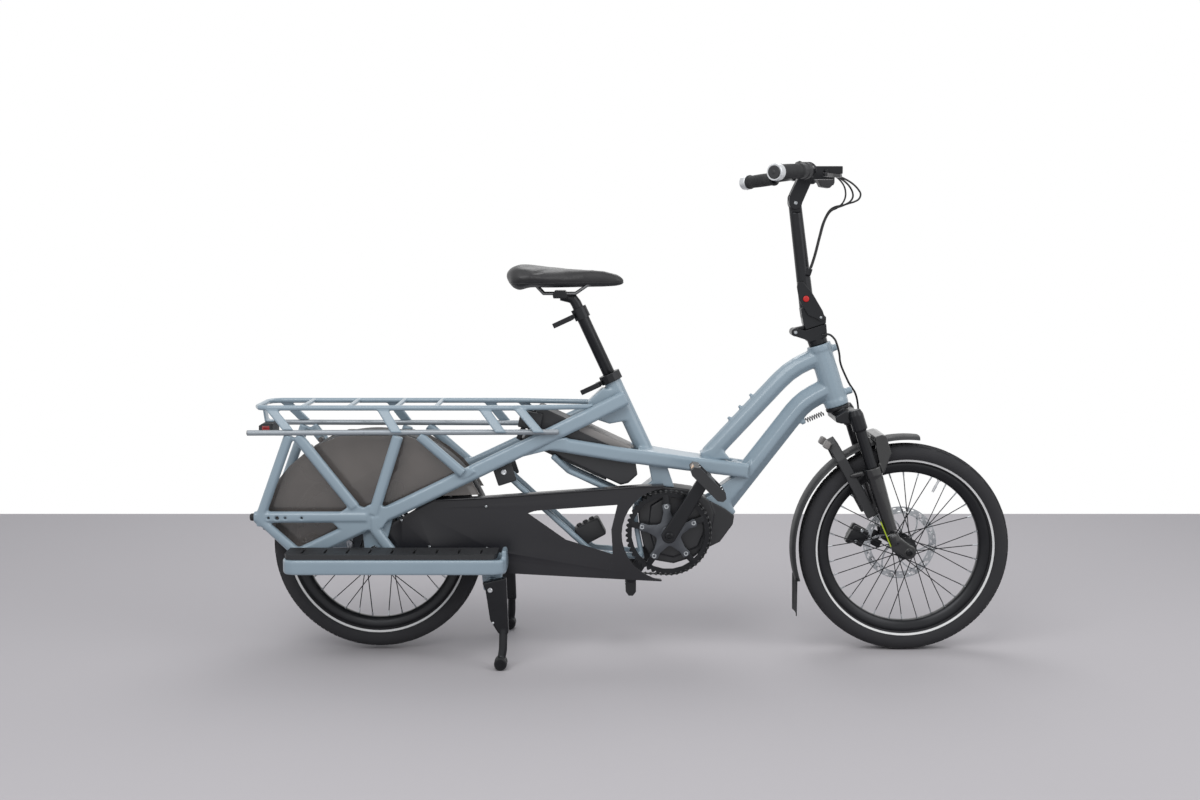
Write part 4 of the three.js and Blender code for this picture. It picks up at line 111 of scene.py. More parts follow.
def paintedFloor():
    # matt floor paint that keeps the object's shadow
    mat = bpy.data.materials.new("floorPaint")
    mat.use_nodes = True
    shader = mat.node_tree.nodes["Principled BSDF"]
    shader.inputs["Base Color"].default_value = linear(studio["floorColour"])
    shader.inputs["Roughness"].default_value = 0.8
    shader.inputs["Specular IOR Level"].default_value = 0.2
    return mat


def makeWorld():
    # a level dome for the light, plain white where the camera, gloss and glass look past the floor
    world = bpy.data.worlds.new("studioWorld")
    bpy.context.scene.world = world
    world.use_nodes = True
    tree = world.node_tree
    tree.nodes.clear()
    paths = addNode(tree, "ShaderNodeLightPath")
    seen = addNode(tree, "ShaderNodeMath", {"operation": "MAXIMUM"},
                   {0: (paths, "Is Camera Ray"), 1: (paths, "Is Glossy Ray")})
    seen = addNode(tree, "ShaderNodeMath", {"operation": "MAXIMUM"},
                   {0: (seen, 0), 1: (paths, "Is Transmission Ray")})
    dome = addNode(tree, "ShaderNodeBackground",
                   {"Color": linear(studio["worldColour"]), "Strength": studio["worldStrength"]})
    white = addNode(tree, "ShaderNodeBackground", {"Color": (1, 1, 1, 1), "Strength": 1.0})
    mixed = addNode(tree, "ShaderNodeMixShader", {}, {0: (seen, 0), 1: (dome, 0), 2: (white, 0)})
    addNode(tree, "ShaderNodeOutputWorld", {}, {"Surface": (mixed, 0)})


def makeStudio():
    bm = bmesh.new()
    bmesh.ops.create_grid(bm, x_segments=2, y_segments=2, size=1.0,
                          matrix=Matrix.Diagonal((*studio["floorHalf"], 1, 1)))
    mesh = bpy.data.meshes.new("studioFloor")
    bm.to_mesh(mesh)
    bm.free()
    mesh.materials.append(paintedFloor())
    linkObject(bpy.data.objects.new("studioFloor", mesh))
    makeWorld()
    for name, (place, width, watts, aim) in studio["softboxes"].items():
        lamp = bpy.data.lights.new(name, "AREA")
        lamp.shape = "SQUARE"
        lamp.size = width
        lamp.energy = watts
        obj = linkObject(bpy.data.objects.new(name, lamp))
        obj.location = place
        obj.rotation_euler = (Vector((0, 0, aim)) - Vector(place)).to_track_quat("-Z", "Y").to_euler()
    bpy.context.scene.view_settings.view_transform = "Standard"


makeCamera()
makeStudio()
print("stage: camera and studio")


# Finishes. Two colours drift over a patch, roughness is the range it drifts through, grain is
# (across, high), and patch and grain are in mm. The other keys are the shader's own sockets, and
# cells makes the grain one of small closed cells.

finishes = {
    # powder coat over aluminium: smooth and glossy with a faint orange peel
    "powderCoatAluminium": {"colours": ("#8799a5", "#93a5b1"), "patch": 130, "roughness": (0.27, 0.36),
        "grain": (2.4, 0.03), "IOR": 1.5, "Coat Weight": 0.35, "Coat Roughness": 0.12},
    # the same powder coat on the rails, a little greyer where hands and straps rub it
    "powderCoatRail": {"colours": ("#8d9399", "#9aa2a8"), "patch": 60, "roughness": (0.26, 0.4),
        "grain": (2.4, 0.03), "Metallic": 0.25, "Coat Weight": 0.25, "Coat Roughness": 0.15},
    # satin black anodised aluminium: soft wide highlights on a fine blasted surface
    "anodisedAluminium": {"colours": ("#1b1c1f", "#26272a"), "patch": 45, "roughness": (0.26, 0.38),
        "grain": (1.3, 0.02), "Metallic": 0.55},
    # gloss black painted magnesium on the fork's lowers
    "glossPaintedMagnesium": {"colours": ("#101113", "#17181a"), "patch": 60, "roughness": (0.2, 0.3),
        "grain": (2.2, 0.03), "Coat Weight": 0.5, "Coat Roughness": 0.08},
    # moulded glass-filled nylon: dull with a spark-eroded texture
    "mouldedNylon": {"colours": ("#1c1d1f", "#27282b"), "patch": 30, "roughness": (0.5, 0.64), "grain": (1.1, 0.06),
        "IOR": 1.53},
    # moulded ABS of the drive's covers, smoother and a touch lighter
    "mouldedAbs": {"colours": ("#1d1e21", "#26272a"), "patch": 70, "roughness": (0.38, 0.5), "grain": (1.6, 0.04),
        "IOR": 1.53},
    # thermoformed polypropylene sheet of the chain case: flat, even, slightly waxy
    "polypropyleneSheet": {"colours": ("#17171b", "#1f1f24"), "patch": 160, "roughness": (0.24, 0.36),
        "grain": (1.4, 0.03), "IOR": 1.49},
    # smoked polycarbonate panel: brown-grey and glossy, with the light behind it coming through
    "smokedPolycarbonate": {"colours": ("#2c2826", "#857e7a"), "patch": 260, "roughness": (0.14, 0.24),
        "grain": (8, 0.02), "IOR": 1.58, "Alpha": 0.8, "Coat Weight": 0.3, "Coat Roughness": 0.08},
    # tyre rubber: matt black-grey with a bloom of dust in its pores
    "tyreRubber": {"colours": ("#242426", "#353538"), "patch": 26, "roughness": (0.74, 0.92), "grain": (1, 0.09),
        "IOR": 1.52, "Specular IOR Level": 0.35},
    # moulded grip and foot rubber
    "mouldedRubber": {"colours": ("#1a1b1d", "#232426"), "patch": 18, "roughness": (0.62, 0.8), "grain": (0.8, 0.06),
        "IOR": 1.52, "Specular IOR Level": 0.4},
    # stainless steel, machine finished
    "stainlessSteel": {"colours": ("#a3a7ab", "#bcc0c3"), "patch": 12, "roughness": (0.22, 0.36),
        "grain": (0.9, 0.015), "Metallic": 1},
    # oiled chain steel, darker in its recesses
    "oiledSteel": {"colours": ("#4a4a4b", "#77787a"), "patch": 9, "roughness": (0.3, 0.5), "grain": (0.8, 0.02),
        "Metallic": 1},
    # grey cast spider and hub shells, shot-blasted and anodised
    "greyAnodised": {"colours": ("#4c4f54", "#5c5f64"), "patch": 22, "roughness": (0.36, 0.5), "grain": (1, 0.03),
        "Metallic": 0.7},
    # clear anodised aluminium of the grip clamps
    "clearAnodised": {"colours": ("#c3c5c8", "#d9dbdd"), "patch": 14, "roughness": (0.28, 0.4),
        "grain": (0.9, 0.015), "Metallic": 0.6},
    # grey moulded cover of the battery
    "greyAbs": {"colours": ("#7b7876", "#8a8684"), "patch": 50, "roughness": (0.4, 0.52), "grain": (1.4, 0.04),
        "IOR": 1.53},
    # red acetal button
    "redAcetal": {"colours": ("#b41716", "#cb2421"), "patch": 8, "roughness": (0.3, 0.42), "grain": (0.8, 0.02),
        "IOR": 1.48},
    # retroreflective white band moulded into the tyre's wall
    "reflectiveBand": {"colours": ("#d5d6d6", "#efefee"), "patch": 20, "roughness": (0.45, 0.6), "grain": (1, 0.02)},
    # dyed green-yellow polymer sheet, matt
    "limePolymer": {"colours": ("#a9c21f", "#bdd42c"), "patch": 16, "roughness": (0.45, 0.6), "grain": (1, 0.02)},
    # PVC cable sheath
    "pvcSheath": {"colours": ("#121315", "#1a1b1d"), "patch": 25, "roughness": (0.4, 0.55), "grain": (0.9, 0.02),
        "IOR": 1.53},
    # vinyl over foam: fine leather grain with a soft shine on its crowns
    "saddleVinyl": {"colours": ("#141416", "#1d1d20"), "patch": 40, "roughness": (0.38, 0.52), "grain": (1.7, 0.12),
        "cells": True, "IOR": 1.5, "Sheen Weight": 0.08},
    # clear acrylic lamp front
    "clearAcrylic": {"colours": ("#f2f4f5", "#ffffff"), "patch": 30, "roughness": (0.03, 0.08), "grain": (6, 0.01),
        "IOR": 1.49, "Transmission Weight": 1},
    # red acrylic lens with prisms cast in its back
    "redAcrylic": {"colours": ("#7d0a0d", "#a81216"), "patch": 7, "roughness": (0.1, 0.2), "grain": (2.6, 0.15),
        "cells": True, "IOR": 1.49, "Coat Weight": 0.6, "Coat Roughness": 0.05},
    # amber reflector with corner prisms
    "amberReflector": {"colours": ("#a8712a", "#cf9a52"), "patch": 5, "roughness": (0.14, 0.26),
        "grain": (2.2, 0.18), "cells": True, "Metallic": 0.2, "IOR": 1.49, "Coat Weight": 0.6,
        "Coat Roughness": 0.05},
    # vacuum-chromed reflector bowl
    "chromedPlastic": {"colours": ("#c9cccf", "#e2e4e6"), "patch": 10, "roughness": (0.06, 0.14), "grain": (3, 0.02),
        "Metallic": 1},
    # black mineral glass of the display
    "blackGlass": {"colours": ("#0a0b0d", "#101114"), "patch": 60, "roughness": (0.05, 0.1), "grain": (12, 0.005),
        "IOR": 1.52, "Coat Weight": 0.4, "Coat Roughness": 0.03},
}


def makeFinish(name):
    look = finishes[name]
    mat = bpy.data.materials.new(name)
    mat.use_nodes = True
    tree = mat.node_tree
    shader = tree.nodes["Principled BSDF"]
    for key, value in look.items():
        if key in shader.inputs:
            shader.inputs[key].default_value = value
    place = addNode(tree, "ShaderNodeTexCoord")
    patch = addNode(tree, "ShaderNodeTexNoise", {"Scale": 1000 / look["patch"], "Detail": 3.0, "Roughness": 0.55},
                    {"Vector": (place, "Object")})
    first, second = (linear(colour) for colour in look["colours"])
    tint = addNode(tree, "ShaderNodeMix", {"data_type": "RGBA", 6: first, 7: second}, {0: (patch, 0)})
    tree.links.new(tint.outputs[2], shader.inputs["Base Color"])
    wide, high = look["grain"]
    if "cells" in look:
        kind, settings = "ShaderNodeTexVoronoi", {"feature": "SMOOTH_F1"}
    else:
        kind, settings = "ShaderNodeTexNoise", {"Detail": 2.0}
    fine = addNode(tree, kind, {**settings, "Scale": 1000 / wide}, {"Vector": (place, "Object")})
    least, most = look["roughness"]
    gloss = addNode(tree, "ShaderNodeMapRange",
                    {"From Min": 0.3, "From Max": 0.7, "To Min": least, "To Max": most}, {"Value": (patch, 0)})
    tree.links.new(gloss.outputs[0], shader.inputs["Roughness"])
    bump = addNode(tree, "ShaderNodeBump", {"Strength": 0.5, "Distance": high * mm}, {"Height": (fine, 0)})
    tree.links.new(bump.outputs[0], shader.inputs["Normal"])
    if "Alpha" in look:
        mat.surface_render_method = "DITHERED"
    return mat


materials = {name: makeFinish(name) for name in finishes}
print("stage: finishes")


# Shared tools for shaping

def keep(name, bm, finish, body, stands=(), recalc=True, sharp=38):
    # a bmesh as a finished piece on its body, in place of the nodes that it stands for
    if recalc:
        bmesh.ops.recalc_face_normals(bm, faces=bm.faces)
    mesh = bpy.data.meshes.new(name)
    bm.to_mesh(mesh)
    bm.free()
    mesh.shade_smooth()
    mesh.set_sharp_from_angle(angle=math.radians(sharp))
    for entry in ([finish] if isinstance(finish, str) else finish):
        mesh.materials.append(materials[entry])
    obj = linkObject(bpy.data.objects.new(name, mesh))
    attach(obj, body)
    if stands:
        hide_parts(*stands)
    return obj


def nodeCopy(node):
    bm = bmesh.new()
    bm.from_mesh(frame["nodes"][node].data)
    bmesh.ops.remove_doubles(bm, verts=bm.verts, dist=2e-5)
    return bm


def worked(name, bm, modify):
    # the bmesh after the modifiers that modify puts on a passing object, and the scene left as it was
    mesh = bpy.data.meshes.new(name)
    bm.to_mesh(mesh)
    bm.free()
    obj = linkObject(bpy.data.objects.new(name, mesh))
    modify(obj)
    fresh = bmesh.new()
    fresh.from_object(obj, bpy.context.evaluated_depsgraph_get())
    bpy.data.objects.remove(obj)
    bpy.data.meshes.remove(mesh)
    return fresh


def skinned(bm, voxel, passes):
    # a closed solid as one even skin with its edges and joints rounded over, as welds and casting leave them
    def modify(obj):
        skin = obj.modifiers.new("skin", "REMESH")
        skin.mode = "VOXEL"
        skin.voxel_size = voxel * mm
        even = obj.modifiers.new("even", "SMOOTH")
        even.factor = 0.5
        even.iterations = passes

    return worked("workSkin", bm, modify)


def lathe(bm, profile, centre, axis, steps, side=None):
    # a profile of (radius, along) in mm spun full circle about an axis through centre
    axis = Vector(axis).normalized()
    out = Vector(side) if side else axis.orthogonal()
    out = (out - axis * out.dot(axis)).normalized()
    verts = [bm.verts.new(Vector(centre) + out * r * mm + axis * a * mm) for r, a in profile]
    edges = [bm.edges.new(pair) for pair in zip(verts, verts[1:])]
    bmesh.ops.spin(bm, geom=verts + edges, cent=Vector(centre), axis=axis, angle=math.tau, steps=steps, use_merge=True)
    bmesh.ops.remove_doubles(bm, verts=bm.verts, dist=1e-6)


def turned(name, finish, body, sharp, parts, stands=()):
    # a piece of lathed parts
    bm = bmesh.new()
    for part in parts:
        lathe(bm, *part)
    keep(name, bm, finish, body, stands, sharp=sharp)


def stick(bm, start, end, radius, sides=8, tip=None):
    # a round bar between two points, radius and tip radius in mm
    start, end = Vector(start), Vector(end)
    way = end - start
    matrix = Matrix.Translation((start + end) / 2) @ way.to_track_quat("Z", "Y").to_matrix().to_4x4()
    bmesh.ops.create_cone(bm, cap_ends=True, segments=sides, radius1=radius * mm,
                          radius2=(radius if tip is None else tip) * mm, depth=way.length, matrix=matrix)


def screwHead(bm, place, way, radius, height=None):
    # a button-head screw with a hexagon socket
    way = Vector(way).normalized()
    height = radius * 0.55 if height is None else height
    dome = [(radius, 0), (radius * 0.92, height * 0.55), (radius * 0.66, height), (radius * 0.52, height)]
    socket = [(radius * 0.52, height), (radius * 0.46, height * 0.3), (0, height * 0.25)]
    lathe(bm, dome, place, way, 16)
    lathe(bm, socket, place, way, 6)


def mmPoint(x, y, z):
    return Vector((x * mm, y * mm, z * mm))


def pitched(degrees):
    return Matrix.Rotation(math.radians(degrees), 4, "Y")


def slab(bm, outline, near, far):
    # an outline in the side view drawn out between two planes across the bike, in mm
    verts = [bm.verts.new(mmPoint(x, near, z)) for x, z in outline]
    drawn = bmesh.ops.extrude_face_region(bm, geom=[bm.faces.new(verts)])
    moved = [item for item in drawn["geom"] if isinstance(item, bmesh.types.BMVert)]
    bmesh.ops.translate(bm, verts=moved, vec=(0, (far - near) * mm, 0))
    bmesh.ops.recalc_face_normals(bm, faces=list({f for v in verts + moved for f in v.link_faces}))
    return verts + moved


def bevelled(bm, verts, width, segments=2):
    edges = list({e for v in verts for e in v.link_edges})
    bmesh.ops.bevel(bm, geom=edges, offset=width * mm, segments=segments, profile=0.5, affect="EDGES", material=-1)


def roundedBlock(bm, centre, size, turn, soft):
    # a moulded block: its centre in metres, its size and edge radius in mm
    matrix = Matrix.Translation(centre) @ turn @ Matrix.Diagonal((size[0] * mm, size[1] * mm, size[2] * mm, 1))
    bevelled(bm, bmesh.ops.create_cube(bm, size=1.0, matrix=matrix)["verts"], soft, 3)


def blocky(name, finish, body, parts):
    # a piece of rounded blocks
    bm = bmesh.new()
    for part in parts:
        roundedBlock(bm, *part)
    keep(name, bm, finish, body, sharp=40)


def evenWalk(line, steps):
    # points at even distances along a line, and its length
    lengths = [0.0]
    for a, b in zip(line, line[1:]):
        lengths.append(lengths[-1] + (b - a).length)
    walk, at = [], 0
    for k in range(steps + 1):
        want = lengths[-1] * k / steps
        while at < len(lengths) - 2 and lengths[at + 1] < want:
            at += 1
        share = (want - lengths[at]) / max(lengths[at + 1] - lengths[at], 1e-9)
        walk.append(line[at].lerp(line[at + 1], min(share, 1.0)))
    return walk, lengths[-1]


def tubeCurve(name, points, radius, sides, steps, finish, body, closed=False):
    # a round curve through the points, radius in mm
    curve = bpy.data.curves.new(name, "CURVE")
    curve.dimensions = "3D"
    curve.bevel_depth = radius * mm
    curve.bevel_resolution = sides
    curve.resolution_u = steps
    curve.use_fill_caps = not closed
    spline = curve.splines.new("BEZIER")
    spline.use_cyclic_u = closed
    spline.bezier_points.add(len(points) - 1)
    for point, spot in zip(spline.bezier_points, points):
        point.co = spot
        point.handle_left_type = point.handle_right_type = "AUTO"
    curve.materials.append(materials[finish])
    obj = linkObject(bpy.data.objects.new(name, curve))
    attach(obj, body)
    return obj


# Wheels: tyres with a block tread, crossed spokes, rims, hubs and brake discs

wheelParts = {
    "front": {"centre": (656.21, 0, 254), "flange": 24.5, "lead": 58, "discAt": 42, "discHub": 20, "turn": 17.8},
    "rear": {"centre": (-618.79, 0, 262), "flange": 58.5, "lead": 22, "discAt": 52, "discHub": 24, "turn": 0},
    "tyre": {"radius": 254, "groove": 1.8, "steps": 132, "treadFrom": 246.5, "rowWidth": 7.0, "blockGap": 0.9,
             "blockDraft": 0.25, "blockHeight": 1.5, "bandRadius": 214, "bandWidth": 4.6},
    "spokes": {"count": 32, "radius": 1.2, "rim": 186, "flangeHalf": 28, "cross": 1.8, "rimHalf": 4, "nipple": 15,
               "elbow": 2.6},
    # disc: band radii, holes as (from radius, to radius, every so many steps, on these steps), and swept arms
    "disc": {"band": (72, 76, 79, 84, 87, 90), "steps": 144, "arms": 6, "armSteps": 6, "reach": 73.5, "sweep": 38,
             "holes": ((76, 79, 6, (0, 1)), (84, 87, 6, (3, 4)), (79, 84, 12, (8, 9))), "wall": 1.8},
    "valveAngle": 45,
}
across = (0, 1, 0)
ahead = (1, 0, 0)


def wheelPoint(centre, radius, degrees, y=0.0):
    turn = math.radians(degrees)
    return mmPoint(centre[0] + radius * math.cos(turn), centre[1] + y, centre[2] + radius * math.sin(turn))


def makeTyre(key, look):
    part = wheelParts["tyre"]
    centre = Vector(look["centre"]) * mm
    crown = part["radius"]
    groove = crown - part["groove"]
    side = [(207.5, 13.6), (210, 18.5), (216, 24.4), (224, 28.6), (231, 29.8), (238, 28.6), (243.5, 25.6),
            (247.4, 21.6), (250.2, 16.4)]
    crownRow = [(groove - 0.9, 10.6), (groove - 0.2, 3.6), (groove - 0.2, -3.6), (groove - 0.9, -10.6)]
    outer = side + crownRow + [(r, -y) for r, y in reversed(side)]
    bm = bmesh.new()
    lathe(bm, outer + [(204, -13.4), (204, 13.4), outer[0]], centre, across, part["steps"], ahead)
    bmesh.ops.recalc_face_normals(bm, faces=bm.faces)
    # tread blocks: three of every four faces of the crown rows, staggered, are inset and raised
    blocks = []
    for face in bm.faces:
        spot = face.calc_center_median() - centre
        step = math.degrees(math.atan2(spot.z, spot.x)) % 360 / (360 / part["steps"])
        if math.hypot(spot.x, spot.z) > part["treadFrom"] * mm:
            row = round(abs(spot.y) / (part["rowWidth"] * mm)) + (2 if spot.y < 0 else 0)
            if (int(step) + row) % 4 != 0:
                blocks.append(face)
    bmesh.ops.inset_individual(bm, faces=blocks, thickness=part["blockGap"] * mm, depth=0.0)
    bmesh.ops.inset_individual(bm, faces=blocks, thickness=part["blockDraft"] * mm, depth=part["blockHeight"] * mm)
    for vert in bm.verts:
        spot = vert.co - centre
        far = math.hypot(spot.x, spot.z)
        if far > crown * mm:
            vert.co = centre + Vector((spot.x / far * crown * mm, spot.y, spot.z / far * crown * mm))
    keep(key + "TyreRubber", bm, "tyreRubber", key + "_wheel_body", [key + "_tyre"], sharp=30)
    # the reflective band sits a hair proud of each wall
    low, half = part["bandRadius"], part["bandWidth"] / 2
    wall = [(low - half, 22.8), (low - half, 23.4), (low, 24.0), (low + half, 25.9), (low + half, 25.2)]
    turned(key + "TyreBand", "reflectiveBand", key + "_wheel_body", 60,
           [([(r, sign * y) for r, y in wall], centre, across, 96, ahead) for sign in (-1, 1)])


def makeSpokes(key, look):
    # every other spoke leads its place at the rim by the hub's own angle and crosses its neighbours
    part = wheelParts["spokes"]
    centre = look["centre"]
    bm, tips = bmesh.new(), bmesh.new()
    for k in range(part["count"]):
        side = -1 if k % 2 else 1
        leads = 1 if k % 4 < 2 else -1
        rimTurn = (k + 0.5) * 360 / part["count"] + look["turn"]
        foot = wheelPoint(centre, look["flange"], rimTurn + leads * look["lead"],
                          side * part["flangeHalf"] + side * leads * part["cross"])
        head = wheelPoint(centre, part["rim"], rimTurn, side * part["rimHalf"])
        elbow = Vector((0, side * part["elbow"] * mm, 0))
        stick(bm, foot, head, part["radius"], 6)
        stick(tips, head.lerp(foot, part["nipple"] * mm / (head - foot).length), head, 1.8, 6, 2.2)
        stick(bm, foot - elbow, foot + elbow, 1.9, 6)
    keep(key + "Spokes", bm, "anodisedAluminium", key + "_wheel_body", [key + "_wheel"], sharp=50)
    keep(key + "Nipples", tips, "stainlessSteel", key + "_wheel_body", sharp=50)


def makeRim(key, look):
    half = [(183, -6), (184.5, -9.5), (190, -13.5), (198, -16.6), (204.5, -17.8), (206, -17.2), (206, -14.6),
            (201.5, -13.8), (197.7, -12)]
    rim = half + [(r, -y) for r, y in reversed(half)] + [(182.6, 0), half[0]]
    turned(key + "Rim", "anodisedAluminium", key + "_wheel_body", 45,
           [(rim, Vector(look["centre"]) * mm, across, 120, ahead)])
    valve = wheelParts["valveAngle"] + look["turn"]
    bm = bmesh.new()
    for start, end, radius, tip in ((188, 160, 2.9, None), (166, 150, 3.7, 3.0), (185, 181, 5.5, None)):
        stick(bm, wheelPoint(look["centre"], start, valve), wheelPoint(look["centre"], end, valve), radius, 12, tip)
    keep(key + "Valve", bm, "clearAnodised", key + "_wheel_body", sharp=40)


def makeHub(key, look):
    if key == "front":
        hub = [(7.5, -46), (11, -46), (12.5, -44), (13, -31), (15, -30.2), (26.4, -29.9), (27, -29.2), (27, -27),
               (26.4, -26.3), (16, -25.6), (13.6, -22), (13.2, 0), (13.6, 22), (16, 25.6), (26.4, 26.3), (27, 27),
               (27, 29.2), (26.4, 29.9), (20, 30.2), (19.4, 41), (19.4, 43.6), (12.5, 44.2), (11, 46), (7.5, 46),
               (7.5, -46)]
    else:
        hub = [(7, -45), (22, -45), (22.8, -44), (23.5, -36), (49, -30.5), (60.5, -30), (62, -28.5), (62, -24),
               (60.5, -22.6), (57.5, -18), (57, -9), (58.6, -7.5), (58.6, -4.5), (57, -3), (57, 3), (58.6, 4.5),
               (58.6, 7.5), (57, 9), (57.5, 18), (60.5, 22.6), (62, 24), (62, 28.5), (60.5, 30), (49, 30.5),
               (23.5, 36), (22.8, 50), (22.8, 53), (7, 53), (7, -45)]
    turned(key + "Hub", "greyAnodised" if key == "rear" else "anodisedAluminium", key + "_wheel_body", 35,
           [(hub, Vector(look["centre"]) * mm, across, 64)])


def makeDisc(key, look):
    # a drilled band on swept arms
    part = wheelParts["disc"]
    centre, hub = look["centre"], look["discHub"]
    base = mmPoint(centre[0], look["discAt"], centre[2])
    bm = bmesh.new()
    lathe(bm, [(radius, 0) for radius in part["band"]], base, across, part["steps"], ahead)
    drilled = []
    for face in bm.faces:
        spot = face.calc_center_median() - base
        far = math.hypot(spot.x, spot.z) / mm
        step = int(math.degrees(math.atan2(spot.z, spot.x)) % 360 / (360 / part["steps"]))
        if any(low < far < high and step % every in on for low, high, every, on in part["holes"]):
            drilled.append(face)
    bmesh.ops.delete(bm, geom=drilled, context="FACES")
    for arm in range(part["arms"]):
        edge = bm.edges.new([bm.verts.new() for _ in range(2)])
        for i in range(part["armSteps"] + 1):
            share = i / part["armSteps"]
            radius = hub + (part["reach"] - hub) * share
            turn = arm * 360 / part["arms"] + part["sweep"] * share + look["turn"]
            # the arm is slimmest half way out
            half = math.degrees((6.5 - 2.2 * math.sin(math.pi * share)) / radius) / 2
            if i:
                drawn = bmesh.ops.extrude_edge_only(bm, edges=[edge])["geom"]
                edge = next(item for item in drawn if isinstance(item, bmesh.types.BMEdge))
            for vert, sign in zip(edge.verts, (-1, 1)):
                vert.co = wheelPoint(centre, radius, turn + sign * half, look["discAt"])
    lathe(bm, [(hub - 2, 0), (hub + 6, 0)], base, across, 48, ahead)
    bmesh.ops.recalc_face_normals(bm, faces=bm.faces)
    bmesh.ops.solidify(bm, geom=bm.faces[:], thickness=part["wall"] * mm)
    keep(key + "Disc", bm, "stainlessSteel", key + "_wheel_body", sharp=30)
    bm = bmesh.new()
    for k in range(6):
        screwHead(bm, wheelPoint(centre, hub + 2, k * 60 + 8, look["discAt"] + 1), across, 4.2)
    keep(key + "DiscScrews", bm, "stainlessSteel", key + "_wheel_body", sharp=30)


for wheelKey in ("front", "rear"):
    for make in (makeTyre, makeSpokes, makeRim, makeHub, makeDisc):
        make(wheelKey, wheelParts[wheelKey])
print("stage: wheels")


# Mudguards: an arched strip bent round each wheel, rolled at its edges, and a flared rubber flap

guardParts = {
    "front": {"centre": (656.21, 0, 254), "radius": 275, "from": 83.8, "to": 197.5, "steps": 56},
    "rear": {"centre": (-618.79, 0, 262), "radius": 282, "from": 24, "to": 172, "steps": 64},
    "section": [(-9.4, -32.8), (-7.2, -32.2), (-2.6, -27.4), (-0.4, -18.5), (0.2, -9), (0.4, 0), (0.2, 9),
                (-0.4, 18.5), (-2.6, 27.4), (-7.2, 32.2), (-9.4, 32.8)],
    "wall": 1.7,
    "stays": {"angles": (35, 118), "radius": 279.5, "half": 60, "bar": 3.4},
    "flap": {"radius": 274, "angle": 196.5, "way": (0.02, 0, -1), "length": 92, "half": 31, "flare": 5, "arch": 7,
             "wall": 2.4},
}


def makeMudguard(look):
    centre = Vector(look["centre"]) * mm
    bm = bmesh.new()
    start = wheelPoint((0, 0, 0), 1 / mm, look["from"])
    verts = [bm.verts.new(centre + start * (look["radius"] + r) * mm + Vector((0, y * mm, 0)))
             for r, y in guardParts["section"]]
    edges = [bm.edges.new(pair) for pair in zip(verts, verts[1:])]
    bmesh.ops.spin(bm, geom=verts + edges, cent=centre, axis=(0, -1, 0),
                   angle=math.radians(look["to"] - look["from"]), steps=look["steps"])
    bmesh.ops.recalc_face_normals(bm, faces=bm.faces)
    # the open skin faces out before it gets its wall
    if sum(face.normal.dot(face.calc_center_median() - centre) for face in bm.faces) < 0:
        bmesh.ops.reverse_faces(bm, faces=bm.faces)
    bmesh.ops.solidify(bm, geom=bm.faces[:], thickness=guardParts["wall"] * mm)
    return bm


def makeMudguards():
    keep("frontMudguardShell", makeMudguard(guardParts["front"]), "mouldedNylon", "fork_lowers",
         ["front_mudguard"], sharp=40)
    look = guardParts["flap"]
    end = wheelPoint(guardParts["front"]["centre"], look["radius"], look["angle"])
    way = Vector(look["way"]).normalized() * look["length"] * mm
    lift = Vector((way.z, 0, -way.x)).normalized()
    flap = bmesh.new()
    bmesh.ops.create_grid(flap, x_segments=8, y_segments=8, size=0.5)
    for vert in flap.verts:
        wide, down = vert.co.x * 2, vert.co.y + 0.5
        half = (look["half"] + look["flare"] * down) * mm
        arch = (1 - wide * wide) * look["arch"] * mm * (1 - 0.5 * down)
        vert.co = end + way * (down - 0.05) + Vector((0, wide * half, 0)) + lift * -arch
    bmesh.ops.recalc_face_normals(flap, faces=flap.faces)
    bmesh.ops.solidify(flap, geom=flap.faces[:], thickness=look["wall"] * mm)
    keep("frontMudguardFlap", flap, "mouldedRubber", "fork_lowers", sharp=40)
    bm = makeMudguard(guardParts["rear"])
    look = guardParts["stays"]
    for angle in look["angles"]:
        inner = wheelPoint(guardParts["rear"]["centre"], look["radius"], angle)
        reach = Vector((0, look["half"] * mm, 0))
        stick(bm, inner - reach, inner + reach, look["bar"], 12)
    keep("rearMudguardShell", bm, "mouldedNylon", "frame", ["rear_mudguard"], sharp=40)


makeMudguards()
print("stage: mudguards")


# Chain: side plates and rollers, one pitch at a time round both toothed wheels

chainParts = {"ring": (82.05, 0, 297), "sprocket": (-618.79, 0, 262), "ringRadius": 101.13, "sprocketRadius": 36.57,
              "pitch": 12.7, "line": -50, "plate": (20.4, 0.95, 7.6), "plateRound": 3.2, "outer": 3.6, "inner": 2.5}


